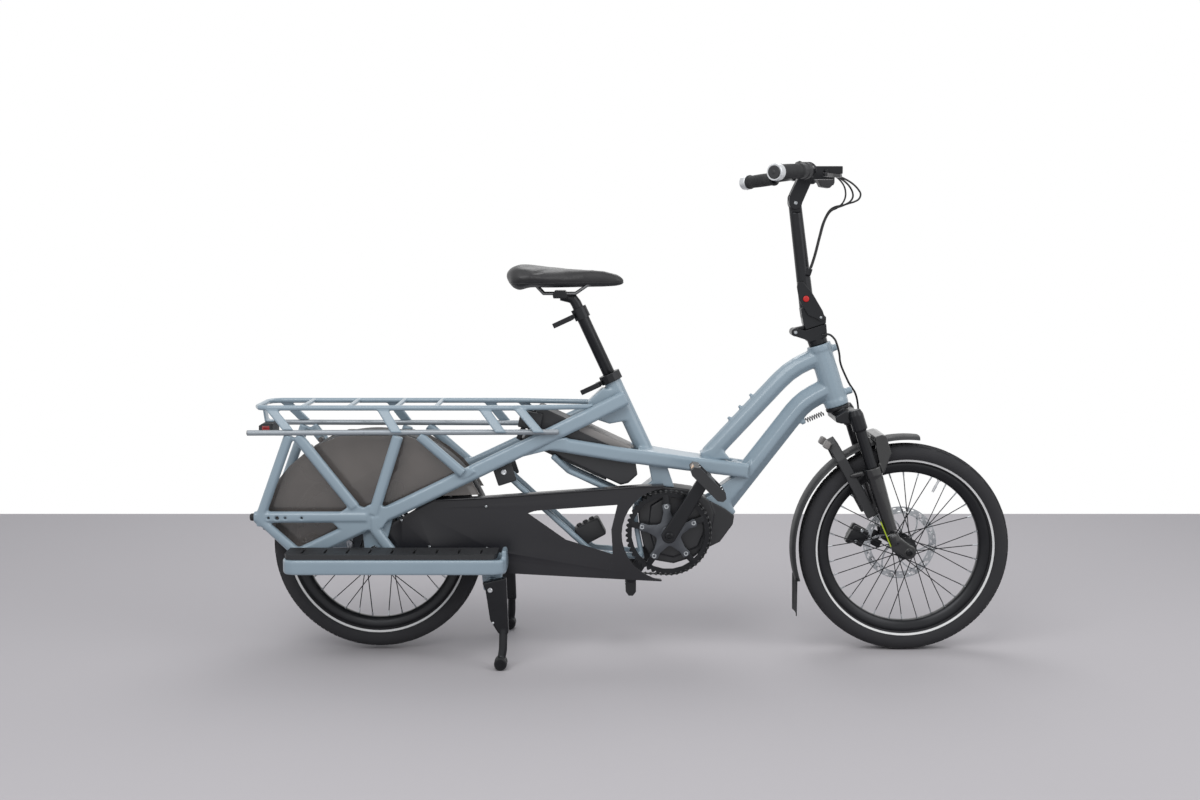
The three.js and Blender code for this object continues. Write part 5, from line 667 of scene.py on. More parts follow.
def makeChain():
    look = chainParts
    big, small = Vector(look["ring"]), Vector(look["sprocket"])
    lean = math.atan2(big.z - small.z, big.x - small.x)
    away = math.hypot(big.x - small.x, big.z - small.z)
    opened = math.asin((look["ringRadius"] - look["sprocketRadius"]) / away)
    quarter = math.pi / 2
    line = []
    for centre, radius, start, end, count in (
        (big, look["ringRadius"], lean - opened - quarter, lean + opened + quarter, 120),
        (small, look["sprocketRadius"], lean + opened + quarter, lean - opened + 3 * quarter, 60),
    ):
        for i in range(count + 1):
            angle = start + (end - start) * i / count
            line.append(Vector((centre.x + radius * math.cos(angle), look["line"],
                                centre.z + radius * math.sin(angle))))
    line.append(line[0])
    total = sum((b - a).length for a, b in zip(line, line[1:]))
    count = round(total / look["pitch"] / 2) * 2
    pins = evenWalk(line, count)[0][:-1]
    bm = bmesh.new()
    for k, pin in enumerate(pins):
        start, end = pin * mm, pins[(k + 1) % count] * mm
        turn = (end - start).normalized().to_track_quat("X", "Y").to_matrix().to_4x4()
        shape = Matrix.Diagonal((*(extent * mm for extent in look["plate"]), 1))
        for sign in (-1, 1):
            offset = Vector((0, sign * look["outer" if k % 2 else "inner"] * mm, 0))
            matrix = Matrix.Translation((start + end) / 2 + offset) @ turn @ shape
            plate = bmesh.ops.create_cube(bm, size=1.0, matrix=matrix)
            ends = [e for v in plate["verts"] for e in v.link_edges
                    if abs((e.verts[0].co - e.verts[1].co).normalized().y) > 0.9]
            bmesh.ops.bevel(bm, geom=list(set(ends)), offset=look["plateRound"] * mm, segments=3, profile=0.5,
                            affect="EDGES", material=-1)
        for half, radius, sides in ((4.0, 1.9, 8), (2.0, 3.7, 10)):
            stick(bm, (pin - Vector((0, half, 0))) * mm, (pin + Vector((0, half, 0))) * mm, radius, sides)
    # the plates already face out, and a recalculation turns shells as thin as these inside out
    keep("chainLinks", bm, "oiledSteel", "frame", ["chain"], recalc=False, sharp=35)


makeChain()
print("stage: chain")


# Grips with ribbed rubber and a bare clamp at each end

gripParts = {"end": (292.21, 322, 1140.78), "way": (0.5558, 0.8293, 0.0583), "length": 118, "radius": 16.4,
             "ribs": 13, "clamp": 20, "bore": 12}


def makeGrip(side, name, node):
    look = gripParts
    x, y, z = look["end"]
    end = mmPoint(x, side * y, z)
    way = Vector((look["way"][0], -side * look["way"][1], look["way"][2])).normalized()
    radius, length, bore, clamp = look["radius"], look["length"], look["bore"], look["clamp"]
    start = clamp + 1
    profile = [(bore, start), (radius + 1.2, start), (radius + 1.6, start + 3), (radius - 0.4, start + 6)]
    step = (length - start - 14) / look["ribs"]
    for k in range(look["ribs"]):
        a = start + 7 + k * step
        r = radius - 0.7 + 0.7 * math.sin(math.pi * (k + 0.5) / look["ribs"])
        profile += [(r - 0.8, a), (r, a + step * 0.2), (r, a + step * 0.75), (r - 0.8, a + step * 0.92)]
    profile += [(radius - 0.6, length - 6), (radius + 1.2, length - 3), (radius + 1.2, length), (bore, length)]
    turned(name + "Rubber", "mouldedRubber", "bars", 35, [(profile, end, way, 48)], [node])
    ring = [(11.4, 0), (17.2, -0.5), (18.4, 1), (18.4, clamp - 1), (17.4, clamp), (bore, clamp)]
    turned(name + "Clamp", "clearAnodised", "bars", 35, [(ring, end, way, 48)])
    turned(name + "Plug", "mouldedNylon", "bars", 40, [
        ([(0, -3.0), (7, -3.4), (13.2, -3.2), (14.4, -1.6), (14.4, 0.4), (11, 0.4)], end, way, 40),
        ([(0, -3.9), (4.6, -3.7), (5.4, -3.1)], end, way, 24)])
    bm = bmesh.new()
    down = way.cross(Vector(across)).normalized()
    down = -down if down.z > 0 else down
    screwHead(bm, end + way * clamp * 0.5 * mm + down * 17.6 * mm, down, 3.0)
    keep(name + "Screw", bm, "stainlessSteel", "bars", sharp=30)


makeGrip(-1, "gripRight", "grip_right")
makeGrip(1, "gripLeft", "grip_left")


# Cables: each is a cord on its own smooth curve

cordParts = {
    # the hose in the steering's own frame, the cables from the handlepost's foot, in mm
    "steering": Matrix(((0.9521, 0, -0.3057, 0.48926), (0, 1, 0, 0), (0.3057, 0, 0.9521, 0.59898), (0, 0, 0, 1))),
    "postFoot": (383.63, 0, 776.17),
    "hose": [(12, -25.1, 176), (20, -31, 177), (32, -34, 168), (38, -30, 150), (39, -18, 122), (38, 6, 90),
             (46, 24, 40), (57, 48, 4), (55, 74, -42), (42, 92, -100), (31, 96, -160), (30, 96, -262),
             (26, 89, -300)],
    "bundle": [(46, -118, 370), (84, -84, 366), (124, -48, 350), (146, -32, 328), (140, -30, 312),
               (112, -29, 302), (80, -24, 292), (62, -22, 262), (52, -20, 224), (44, -19, 190),
               (38, -17.5, 168), (32.9, -15.6, 152)],
    # shift along y and x, share of the bundle's reach, diameter; they run together from point joined on
    "strands": {"controlCableA": (0.0, 0.0, 1.0, 4.4), "controlCableB": (2.9, 2.2, 0.72, 4.4),
                "controlCableC": (-2.6, 2.4, 0.45, 4.0)},
    "joined": 7,
    "steps": 31,
}


def roundedRoute(points):
    # an even Catmull-Rom walk along the chosen points
    pts = [points[0] * 2 - points[1]] + points + [points[-1] * 2 - points[-2]]
    fine = []
    for i in range(1, len(pts) - 2):
        a, b, c, d = pts[i - 1:i + 3]
        for k in range(24):
            t = k / 24
            fine.append(0.5 * (2 * b + (c - a) * t + (2 * a - 5 * b + 4 * c - d) * t * t
                               + (3 * b - a - 3 * c + d) * t ** 3))
    return evenWalk(fine + [pts[-2]], cordParts["steps"])


def makeCord(name, points, diameter, body, stands):
    route, length = roundedRoute(points)
    obj = tubeCurve(name, route, diameter / 2, 4, 6, "pvcSheath", body)
    if stands:
        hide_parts(*stands)
    return round(length, 3)


def makeCords():
    look = cordParts
    hose = [look["steering"] @ mmPoint(*p) for p in look["hose"]]
    lengths = [makeCord("brakeHoseLine", hose, 5.0, "steering", ["brake_hose"])]
    bundle = [mmPoint(*look["postFoot"]) + mmPoint(*p) for p in look["bundle"]]
    last = look["joined"]
    for name, (out, lift, reach, diameter) in look["strands"].items():
        points = []
        for i, spot in enumerate(bundle):
            share = min(i / last, 1.0)
            fold = math.sin(math.pi * min(i / (last + 1), 1.0)) * (1 - reach)
            line = bundle[0].lerp(bundle[last], share) + Vector((0.012, 0, -0.008)) * math.sin(math.pi * share)
            points.append(spot.lerp(line, fold) + Vector((lift, out, 0)) * mm)
        lengths.append(makeCord(name, points, diameter, "post", ["control_cables"] if name.endswith("A") else []))
    print("stage: cables,", lengths, "m")


makeCords()


# Steering spring: wire wound into a helix by one spin

springParts = {"foot": (414.7, 0, 561.8), "head": (457.2, 0, 580.0), "turns": 8, "coil": 5.25, "wire": 1.2,
               "steps": 20}


def makeSpring():
    look = springParts
    foot, head = mmPoint(*look["foot"]), mmPoint(*look["head"])
    way = (head - foot).normalized()
    out = Vector(across)
    bm = bmesh.new()
    ring = bmesh.ops.create_circle(bm, segments=8, radius=look["wire"] * mm, cap_ends=True)
    basis = Matrix((out, way, way.cross(out))).transposed().to_4x4()
    basis.translation = foot + out * look["coil"] * mm
    bmesh.ops.transform(bm, matrix=basis, verts=ring["verts"])
    steps = look["turns"] * look["steps"]
    bmesh.ops.spin(bm, geom=bm.faces[:], cent=foot, axis=way, angle=math.tau * look["turns"], steps=steps,
                   dvec=way * ((head - foot).length / steps))
    keep("steeringSpringWire", bm, "oiledSteel", "frame", ["steering_spring"], sharp=60)


makeSpring()


# Saddle: a padded cover over foam, blown up a little by a cloth pass, with a welt along its sides

saddleParts = {
    "voxel": 3.6, "smooth": 30, "shrink": 0.4, "pressure": 4.0, "cap": 3.0, "frames": 18,
    "channel": {"half": 13, "depth": 3.2, "from": 0.1, "to": 0.93},
    # the welt: radius in mm, its height and the middle and reach of its loop as shares of the saddle's box
    "seam": {"radius": 0.9, "height": 0.3, "middle": 0.33, "reach": 0.3, "steps": 72},
}


def inflated(bm, look):
    # pressure cloth for a few frames, held under the pad, its travel capped
    rest = [vert.co.copy() for vert in bm.verts]
    scene = bpy.context.scene

    def modify(obj):
        held = obj.vertex_groups.new(name="held")
        held.add([v.index for v in obj.data.vertices if v.normal.z < -0.25], 1.0, "REPLACE")
        settings = obj.modifiers.new("cover", "CLOTH").settings
        settings.quality = 5
        settings.mass = 0.3
        settings.tension_stiffness = 20
        settings.compression_stiffness = 20
        settings.use_pressure = True
        settings.uniform_pressure_force = look["pressure"]
        settings.vertex_group_mass = "held"
        settings.effector_weights.gravity = 0
        for number in range(1, look["frames"] + 1):
            scene.frame_set(number)

    fresh = worked("workPad", bm, modify)
    for vert, start in zip(fresh.verts, rest):
        moved = vert.co - start
        if moved.length > look["cap"] * mm:
            vert.co = start + moved.normalized() * look["cap"] * mm
    scene.frame_set(1)
    return fresh


def makeSaddle():
    look = saddleParts
    bm = skinned(nodeCopy("saddle"), look["voxel"], look["smooth"])
    low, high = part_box("saddle")
    for vert in bm.verts:
        vert.co -= vert.normal * look["shrink"] * mm
    bm = inflated(bm, look)
    # the relief channel down the middle
    channel = look["channel"]
    for vert in bm.verts:
        share = (vert.co.x - low.x) / (high.x - low.x)
        near = max(0.0, 1 - abs(vert.co.y) / (channel["half"] * mm))
        if vert.normal.z > 0.5 and channel["from"] < share < channel["to"]:
            fade = math.sin(math.pi * (share - channel["from"]) / (channel["to"] - channel["from"])) ** 0.5
            vert.co.z -= channel["depth"] * mm * (near * near * (3 - 2 * near)) * fade
    obj = keep("saddleCover", bm, ["saddleVinyl", "mouldedNylon"], "seat", ["saddle"],
               recalc=False, sharp=80)
    # the underside is the moulded shell
    for face in obj.data.polygons:
        face.material_index = 1 if face.normal.z < -0.45 else 0
    fine = obj.modifiers.new("fine", "SUBSURF")
    fine.levels = fine.render_levels = 1
    makeSeam(obj.data, low, high)


def makeSeam(cover, low, high):
    # found by looking outward from the middle line to the cover
    look = saddleParts["seam"]
    tree = BVHTree.FromPolygons([v.co for v in cover.vertices], [p.vertices for p in cover.polygons])
    span = high.x - low.x
    route = []
    for k in range(look["steps"]):
        turn = math.tau * k / look["steps"]
        centre = Vector((low.x + look["middle"] * span + look["reach"] * span * math.cos(turn), 0,
                         low.z + look["height"] * (high.z - low.z)))
        spot = tree.ray_cast(centre, Vector((math.cos(turn), math.sin(turn), 0)))[0]
        if spot is not None:
            route.append(spot)
    tubeCurve("saddleSeam", route, look["radius"], 3, 12, "saddleVinyl", "seat", closed=True)


makeSaddle()
print("stage: saddle")


# Lamps: housings from the solids, with a faceted reflector behind a clear front and a ribbed red lens

lampParts = {
    "bezel": [(17.8, -3.6), (18.6, -1.2), (18.6, 0.4), (17, 0.6), (15.6, -0.4), (15.6, -3.4)],
    "lens": [(0, -0.4), (6, -0.6), (12, -1.3), (15.7, -2.4), (15.7, -3.3), (0, -2.4)],
    "bowl": [(15.5, -3.4), (12.5, -6.5), (8, -9.4), (3.6, -11), (0, -11)],
    "ribs": 9, "ribPitch": 7.6,
}


def makeLamps():
    look = lampParts
    flat = Matrix.Identity(4)
    low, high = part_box("headlight")
    centre = Vector((high.x, 0, low.z + (high.z - low.z) * 0.56))
    turned("headlightBezel", "mouldedNylon", "bars", 35, [(look["bezel"], centre, ahead, 48)])
    turned("headlightLens", "clearAcrylic", "bars", 35, [(look["lens"], centre, ahead, 48)])
    turned("headlightReflector", "chromedPlastic", "bars", 10, [(look["bowl"], centre, ahead, 14)])
    low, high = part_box("tail_light")

    def spot(depth, y):
        return Vector((low.x + depth * mm, y * mm, (low.z + high.z) / 2))

    places = [(k - look["ribs"] // 2) * look["ribPitch"] for k in range(look["ribs"])]
    blocky("tailLightLens", "redAcrylic", "frame", [(spot(1.8, y), (3.4, 7.0, 15), flat, 1.1) for y in places])
    blocky("tailLightBed", "redAcrylic", "frame", [(spot(3.2, 0), (4, 72, 19), flat, 1.4)])
    for name, side in (("tailLightSideRight", -1), ("tailLightSideLeft", 1)):
        blocky(name, "redAcrylic", "frame", [(spot(17, side * 37.4), (18, 1.6, 17), flat, 0.7)])


makeLamps()
print("stage: lamps")


# Pedals: reflectors, grip pins and end caps

pedalParts = {
    "right": {"centre": (168.26, -145, 437.69), "way": (0.7071, 0, -0.7071), "side": -1},
    "left": {"centre": (-4.16, 145, 156.31), "way": (0, 0, -1), "side": 1},
    "reflector": {"at": 51, "size": (2.4, 52, 9.0), "soft": 0.8},
    "pins": {"along": 37.44, "across": (-36, 0, 36), "foot": 10, "top": 12.9},
    "cap": [(0, 1.2), (6.5, 1.0), (8, 0), (8, -2)], "capAt": 42.6,
}


def makePedalTrim(key):
    look, part, pins = pedalParts[key], pedalParts["reflector"], pedalParts["pins"]
    body = "pedal_" + key + "_body"
    way = Vector(look["way"]).normalized()
    up = Vector(across).cross(way)
    turn = Matrix((way, Vector(across), -up)).transposed().to_4x4()
    centre = mmPoint(*look["centre"])
    blocky(key + "PedalReflectors", "amberReflector", body,
           [(centre + way * sign * part["at"] * mm, part["size"], turn, part["soft"]) for sign in (-1, 1)])
    bm = bmesh.new()
    for sign in (-1, 1):
        for along in (-pins["along"], pins["along"]):
            for y in pins["across"]:
                base = centre + way * along * mm + Vector((0, y * mm, 0))
                stick(bm, base + up * sign * pins["foot"] * mm, base + up * sign * pins["top"] * mm, 2.0, 8, 1.5)
    keep(key + "PedalPins", bm, "stainlessSteel", body, sharp=40)
    end = centre + Vector((0, look["side"] * pedalParts["capAt"] * mm, 0))
    turned(key + "PedalCap", "mouldedNylon", body, 40, [(pedalParts["cap"], end, (0, look["side"], 0), 24)])


makePedalTrim("right")
makePedalTrim("left")


# Screws, end plugs and rollers

screws = {
    # finish, body, way, radius, places in mm
    "caseScrews": ("stainlessSteel", "frame", (0, -1, 0), 3.4, [
        (-554.5, -70.0, 332.1), (-489.2, -70.0, 267.1), (-352.9, -70.0, 365.1), (-351.8, -70.0, 263.0)]),
    "latchPin": ("stainlessSteel", "post", (0, -1, 0), 3.4, [(442.93, -26.6, 812.17)]),
    "leverPivots": ("stainlessSteel", "bars", (0, 0, 1), 3.2, [(459.97, -154.76, 1158.6), (459.97, 154.76, 1158.6)]),
}
screwPairs = {
    # names on the right and the left: finish, body, radius, place of the left one
    ("standPivots", "standPivotsFar"): ("clearAnodised", "stand_body", 6.0, (-337.35, 170.2, 185.84)),
    ("standScrews", "standScrewsFar"): ("clearAnodised", "stand_body", 3.0, (-331.5, 170.2, 108)),
    ("motorScrews", "motorScrewsFar"): ("stainlessSteel", "frame", 5.2, (202.3, 24.4, 346.9)),
    ("stemScrews", "stemScrewsFar"): ("stainlessSteel", "bars", 4.6, (380.13, 18.0, 1081.85)),
    ("foldPins", "foldPinsFar"): ("stainlessSteel", "steering", 4.4, (383.63, 25.2, 776.17)),
    ("frontAxleCap", "frontAxleEnd"): ("anodisedAluminium", "fork_lowers", 9.0, (656.21, 78.4, 254)),
    ("crankBolt", "crankBoltFar"): ("anodisedAluminium", "crank", 10.5, (82.05, 91.6, 297)),
}
plugParts = {
    "ringBolt": [(2.6, -0.6), (2.8, 1.6), (5.0, 1.8), (6.0, 1.0), (6.0, -0.8)],
    "railEnd": [(0, 1.2), (4.8, 1.0), (6.2, 0.1), (6.4, -3), (5.8, -3)],
    "bumper": [(0, 7.4), (6.0, 7.0), (8.4, 5.2), (9.0, 0), (8.6, -4)],
    "roller": [(6, 16.9), (13.4, 16.9), (14.7, 15.6), (15, 13), (15, -13), (14.7, -15.6), (13.4, -16.9), (6, -16.9)],
}


def makeScrews(name, finish, body, way, radius, places):
    bm = bmesh.new()
    for place in places:
        screwHead(bm, mmPoint(*place), way, radius)
    keep(name, bm, finish, body, sharp=30)


def makeFasteners():
    for name, row in screws.items():
        makeScrews(name, *row)
    for names, (finish, body, radius, (x, y, z)) in screwPairs.items():
        for name, side in zip(names, (-1, 1)):
            makeScrews(name, finish, body, (0, side, 0), radius, [(x, side * y, z)])
    # hollow chainring bolts between the spider's arms
    turned("ringBolts", "stainlessSteel", "crank", 30, [
        (plugParts["ringBolt"], wheelPoint((82.05, -56.2, 297), 65, 58.5 + 72 * (k + 0.5)), (0, -1, 0), 20)
        for k in range(5)])
    # end plugs of the side rails and the bumpers at the frame's rear corners
    turned("railPlugs", "mouldedRubber", "frame", 40, [part for side in (-1, 1) for part in (
        (plugParts["railEnd"], mmPoint(-909.0, side * 100, 545.5), (-1, 0, 0), 20),
        (plugParts["bumper"], mmPoint(-902.5, side * 92, 343.5), (-1, 0, 0), 24))])
    turned("standRollers", "mouldedRubber", "stand_body", 40, [
        (plugParts["roller"], mmPoint(-313.35, side * 178, 15.2), across, 36) for side in (-1, 1)])


makeFasteners()


# Lime strip on the rear edge of the near fork leg

stripParts = {"top": (586.2, -76, 329), "foot": (612.2, -74, 268), "wide": (2.2, 7), "soft": 0.9, "proud": -0.5}


def makeForkStrip():
    look = stripParts
    top, foot = mmPoint(*look["top"]), mmPoint(*look["foot"])
    way = (foot - top).normalized()
    turn = Matrix((Vector(across).cross(way), Vector(across), -way)).transposed().to_4x4()
    size = (*look["wide"], (foot - top).length / mm)
    middle = (top + foot) / 2 + mmPoint(look["proud"], 0, 0)
    blocky("forkStrip", "limePolymer", "fork_lowers", [(middle, size, turn, look["soft"])])


makeForkStrip()


# Controls at the bar: display pod and the levers' reservoirs

controlParts = {
    "pod": {"centre": (392, -84, 1166.5), "size": (44, 58, 13), "pitch": 24},
    "reservoir": {"foot": (424, 122, 1149.5), "way": (0.14, 1.0, -0.03), "radius": 7.4, "length": 46},
}


def makeControls():
    look = controlParts["pod"]
    turn, centre = pitched(look["pitch"]), mmPoint(*look["centre"])
    x, y, z = look["size"]
    blocky("displayPod", "mouldedNylon", "bars", [(centre - mmPoint(0, 0, 3), (x, y, z - 5), turn, 2.4)])
    blocky("displayGlass", "blackGlass", "bars", [(centre + turn @ mmPoint(0, 0, 1.2), (x - 6, y - 8, 1.2), turn, 0.5)])
    look = controlParts["reservoir"]
    radius, length = look["radius"], look["length"]
    can = [(0, -2), (radius * 0.7, -1.6), (radius, 2), (radius, length - 8), (radius * 0.8, length - 3),
           (radius * 0.5, length), (0, length)]
    spigot = [(0, -9), (2.6, -9), (3.4, -2), (3.6, 0)]
    for name, side in (("reservoirRight", -1), ("reservoirLeft", 1)):
        mirror = Vector((1, side, 1))
        foot, way = mmPoint(*look["foot"]) * mirror, (Vector(look["way"]) * mirror).normalized()
        turned(name, "anodisedAluminium", "bars", 40, [(can, foot, way, 32), (spigot, foot, way, 16)])


makeControls()
print("stage: small parts")


# Spider: a wide star plate over the chainring, its rim of fine teeth left dark

spiderParts = {
    "centre": (82.05, 0, 297), "arms": 5, "turn": 94.5, "near": -57.6, "far": -53.6,
    # one arm's outline as (radius, degrees)
    "arm": [(31, -36), (34, -25), (52, -9.5), (69, -8.5), (72, -4), (72, 4), (69, 8.5), (52, 9.5), (34, 25)],
    "boss": [(9, -3.2), (15, -3.4), (17.5, -2.2), (18, 0), (18, 3)],
}


def makeSpider():
    look = spiderParts
    outline = []
    for k in range(look["arms"]):
        for radius, offset in look["arm"]:
            spot = wheelPoint(look["centre"], radius, look["turn"] + 360 / look["arms"] * k + offset) / mm
            outline.append((spot.x, spot.z))
    bm = bmesh.new()
    bevelled(bm, slab(bm, outline, look["near"], look["far"]), 0.9)
    lathe(bm, look["boss"], mmPoint(look["centre"][0], look["near"], look["centre"][2]), across, 40)
    keep("crankSpider", bm, "greyAnodised", "crank", sharp=35)


makeSpider()


# Front brake caliper: two bolted halves over the disc, with cooling fins and a bracket to the fork

caliperParts = {
    "pitch": 28,
    # centre, size, edge radius
    "blocks": [((552, 53.5, 272), (44, 16, 46), 4), ((552, 32.5, 272), (40, 12, 42), 4),
               ((534, 43, 270), (13, 30, 34), 3), ((586, 64, 258), (62, 12, 20), 3), ((600, 70, 262), (22, 8, 34), 3)],
    "fins": {"centre": (546, 62.6, 278), "count": 5, "pitch": 6.2, "size": (2.0, 6, 34), "soft": 0.7},
    "bolts": [(560, 26.2, 286), (546, 26.2, 260), (584, 57.6, 257), (603, 65.6, 264)],
}


def makeCaliper():
    look, fins = caliperParts, caliperParts["fins"]
    turn = pitched(look["pitch"])
    bm = bmesh.new()
    for centre, extent, soft in look["blocks"]:
        roundedBlock(bm, mmPoint(*centre), extent, turn, soft)
    for k in range(fins["count"]):
        spot = mmPoint(*fins["centre"]) + turn @ mmPoint((k - fins["count"] // 2) * fins["pitch"], 0, 0)
        roundedBlock(bm, spot, fins["size"], turn, fins["soft"])
    keep("frontCaliperBody", bm, "anodisedAluminium", "fork_lowers", ["front_caliper"], sharp=40)
    bm = bmesh.new()
    for place in look["bolts"]:
        screwHead(bm, mmPoint(*place), (0, -1, 0), 4.4, 3.6)
    keep("frontCaliperBolts", bm, "stainlessSteel", "fork_lowers", sharp=30)


makeCaliper()


# Trim on the frame: battery cover strip, charging socket, mounting brackets and the chain case's bead

frameTrim = {
    "cover": {"centre": (-70.5, 0, 522.5), "size": (136, 91.5, 21), "pitch": 25.3, "soft": 5},
    "socket": {"centre": (-105.5, 4, 292), "size": (66, 44, 47), "pitch": -28, "soft": 6,
               "plugs": (-17, 0, 17), "plug": [(0, 5), (5, 4.6), (6.2, 3), (6.2, -2)]},
    # centre, size, pitch and the button's radius
    "brackets": [((-247, 52, 569), (54, 9, 42), 12, 7.6), ((-311, 56, 446), (46, 9, 58), -18, 6.6)],
    "bead": {"line": [(70.5, 413.8), (12.8, 411.8), (-366.2, 384), (-479.2, 378.8), (-521.3, 356)], "y": -69,
             "radius": 2.4},
    "lockCap": {"centre": (461, 36, 508), "size": (15, 24, 19), "pitch": 28, "soft": 4},
}


def makeFrameTrim():
    look = frameTrim["cover"]
    blocky("batteryCover", "greyAbs", "frame",
           [(mmPoint(*look["centre"]), look["size"], pitched(look["pitch"]), look["soft"])])
    look = frameTrim["socket"]
    turn, centre = pitched(look["pitch"]), mmPoint(*look["centre"])
    bm = bmesh.new()
    roundedBlock(bm, centre, look["size"], turn, look["soft"])
    for along in look["plugs"]:
        lathe(bm, look["plug"], centre + turn @ mmPoint(along, -6, 25), turn @ Vector((0, 0, 1)), 20)
    keep("chargingSocket", bm, "mouldedNylon", "frame", sharp=40)
    plates, buttons = bmesh.new(), bmesh.new()
    for (x, y, z), extent, pitch, radius in frameTrim["brackets"]:
        button = [(0, 2.4), (radius * 0.4, 2.4), (radius * 0.46, 1.4), (radius * 0.8, 2.2), (radius, 1.2), (radius, -1)]
        for side in (-1, 1):
            spot = mmPoint(x, side * y, z)
            roundedBlock(plates, spot, extent, pitched(pitch), 3.5)
            lathe(buttons, button, spot + mmPoint(0, side * extent[1] / 2, 0), (0, side, 0), 28)
    keep("frameBrackets", plates, "mouldedNylon", "frame", sharp=40)
    keep("bracketButtons", buttons, "clearAnodised", "frame", sharp=40)
    look = frameTrim["bead"]
    bm = bmesh.new()
    for (x0, z0), (x1, z1) in zip(look["line"], look["line"][1:]):
        stick(bm, mmPoint(x0, look["y"], z0), mmPoint(x1, look["y"], z1), look["radius"], 16)
    keep("caseBead", bm, "polypropyleneSheet", "frame", sharp=50)
    look = frameTrim["lockCap"]
    x, y, z = look["centre"]
    blocky("lockCaps", "greyAbs", bodyOf["ring_lock"], [
        (mmPoint(x, side * y, z), look["size"], pitched(look["pitch"]), look["soft"]) for side in (-1, 1)])


makeFrameTrim()
print("stage: trim")


# The nodes that keep their own shape, by finish, palette slot and way. A skin takes (voxel in mm,
# smoothing passes), a bevel takes (width in mm, segments) on edges sharper than 38 degrees.

dressing = {
    ("powderCoatAluminium", "frame_paint", "skin"): {
        "front_frame": (2.2, 8), "centre_frame": (2.4, 7), "rear_frame_right": (2.3, 7), "rear_frame_left": (2.3, 7),
        "upper_rack": (1.9, 4), "footboard_right": (2.5, 26), "footboard_left": (2.5, 26),
    },
    ("mouldedNylon", "black_plastic", "bevel"): {
        "footboard_deck_right": (1.2, 3), "footboard_deck_left": (1.2, 3), "tail_light": (2, 3),
        "pedal_right": (1.6, 3), "pedal_left": (1.6, 3),
    },
    ("powderCoatRail", "frame_paint", "skin"): {
        "side_rail_right": (1.6, 4), "side_rail_left": (1.6, 4),
    },
    ("smokedPolycarbonate", "smoked_panel", "bevel"): {
        "wheel_guard_right": (0.5, 2), "wheel_guard_left": (0.5, 2),
    },
    ("polypropyleneSheet", "black_plastic", "bevel"): {
        "chain_case": (0.6, 3),
    },
    ("mouldedAbs", "black_plastic", "skin"): {
        "motor": (1.9, 6), "battery": (1.9, 5),
    },
    ("anodisedAluminium", "black_metal", "bevel"): {
        "battery_rail": (1, 2), "chainring": (0.4, 2), "seatpost_outer": (0.7, 2),
    },
    ("oiledSteel", "steel", "bevel"): {
        "sprocket": (0.4, 2), "hub_drum": (0.8, 2),
    },
    ("anodisedAluminium", "black_metal", "skin"): {
        "crank_arm_right": (1.3, 6), "crank_arm_left": (1.3, 6), "seat_collar": (0.9, 4), "seatpost_inner": (1.2, 4),
        "lower_quick_release": (0.7, 4), "upper_quick_release": (0.7, 4), "stand": (1.8, 5), "fork_upper": (1.6, 5),
        "handlepost_base": (1, 4), "handlepost": (1.3, 6), "latch_lever": (0.8, 5), "stem": (1.1, 4),
        "handlebar": (1.3, 5), "brake_lever_right": (0.8, 4), "brake_lever_left": (0.8, 4),
    },
    ("stainlessSteel", "steel", "bevel"): {
        "rear_axle": (0.6, 2),
    },
    ("oiledSteel", "steel", "skin"): {
        "saddle_rails": (0.9, 4),
    },
    ("glossPaintedMagnesium", "black_metal", "skin"): {
        "fork_lower": (1.6, 6),
    },
    ("mouldedNylon", "black_plastic", "skin"): {
        "ring_lock": (1.4, 6), "twist_shifter": (0.9, 3), "headlight": (1, 4),
    },
    ("redAcetal", "red_plastic", "bevel"): {
        "latch_button": (0.6, 3),
    },
}
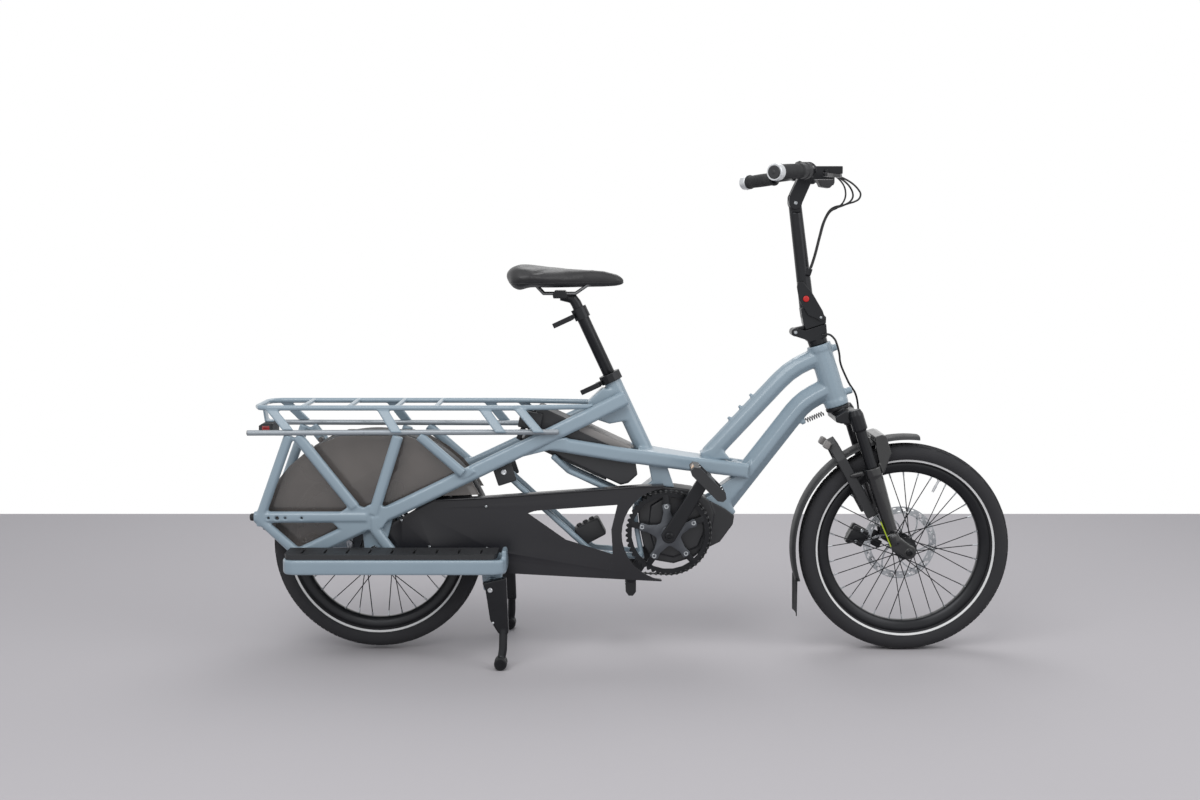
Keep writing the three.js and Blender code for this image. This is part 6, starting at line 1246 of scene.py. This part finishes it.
# Webs fill the corners where tubes meet, as the welds do: an outline (x, z) in mm and its span in y,
# on the near side, the far side or both. A span that starts below zero crosses the middle.
webs = {
    "rear_frame": [
        ([(-716, 333), (-700, 353), (-664, 376), (-640, 366), (-628, 373), (-606, 373), (-590, 368), (-560, 378),
          (-574, 352), (-596, 318), (-640, 312), (-700, 316)], 84, 99),
        ([(-898, 344), (-884, 372), (-875, 356), (-875, 322), (-893, 322)], 84, 100),
        ([(-448, 432), (-410, 454), (-396, 462), (-376, 452), (-396, 438)], 80, 92),
        ([(-812, 270), (-790, 272), (-760, 268), (-790, 250), (-818, 256)], 84, 99),
    ],
    "centre_frame": [
        ([(-296, 476), (-200, 500), (-160, 500), (-160, 530), (-236, 520)], 50, 69),
        ([(232, 432), (262, 430), (276, 424), (268, 456), (240, 462)], 14, 38),
    ],
    "front_frame": [
        ([(164, 470), (176, 462), (204, 470), (232, 470), (214, 492), (180, 496), (160, 486)], -21, 21),
        ([(206, 404), (240, 428), (258, 446), (280, 470), (262, 400), (232, 380)], -23, 23),
    ],
}
# The seat tube's bore is drawn round again after the skin has softened it.
seatBore = {"top": (-58.12, 0, 671.09), "way": (-0.4222, 0, 0.9065), "radius": 15.8, "below": 200, "above": 6}
# One plane trims the guards' lower rear corners: a point on it and the side to take away.
guardCut = {"point": (-900, 0, 330), "away": (-0.562, 0, -0.827)}


def roundBore(bm):
    look = seatBore
    top, way = mmPoint(*look["top"]), Vector(look["way"]).normalized()
    for vert in bm.verts:
        along = (vert.co - top).dot(way)
        out = vert.co - top - way * along
        if -look["below"] * mm < along < look["above"] * mm and out.length < look["radius"] * mm:
            vert.co += out.normalized() * (look["radius"] * mm - out.length)


def dressNode(node, finish, way, size, count):
    bm = nodeCopy(node)
    for outline, near, far in webs.get(node.removesuffix("_right").removesuffix("_left"), ()):
        sides = (-1,) if node.endswith("_right") else (1,) if node.endswith("_left") or near < 0 else (-1, 1)
        for side in sides:
            slab(bm, outline, side * near, side * far)
    if way == "skin":
        bm = skinned(bm, size, count)
        if node == "centre_frame":
            roundBore(bm)
        keep(node + "Skin", bm, finish, bodyOf[node], [node], recalc=False, sharp=70)
        return
    bmesh.ops.dissolve_limit(bm, angle_limit=math.radians(1.0), verts=bm.verts, edges=bm.edges)
    if node.startswith("wheel_guard"):
        bmesh.ops.bisect_plane(bm, geom=bm.verts[:] + bm.edges[:] + bm.faces[:], dist=1e-6,
                               plane_co=mmPoint(*guardCut["point"]), plane_no=guardCut["away"], clear_outer=True)
        bmesh.ops.holes_fill(bm, edges=[e for e in bm.edges if e.is_boundary], sides=0)
    obj = keep(node + "Trim", bm, finish, bodyOf[node], [node], recalc=False)
    edge = obj.modifiers.new("edge", "BEVEL")
    edge.width = size * mm
    edge.segments = count
    edge.limit_method = "ANGLE"
    edge.angle_limit = math.radians(38)
    edge.harden_normals = True


for (finish, slot, way), rows in dressing.items():
    for node, (size, count) in rows.items():
        dressNode(node, finish, way, size, count)
print("stage: bodywork")
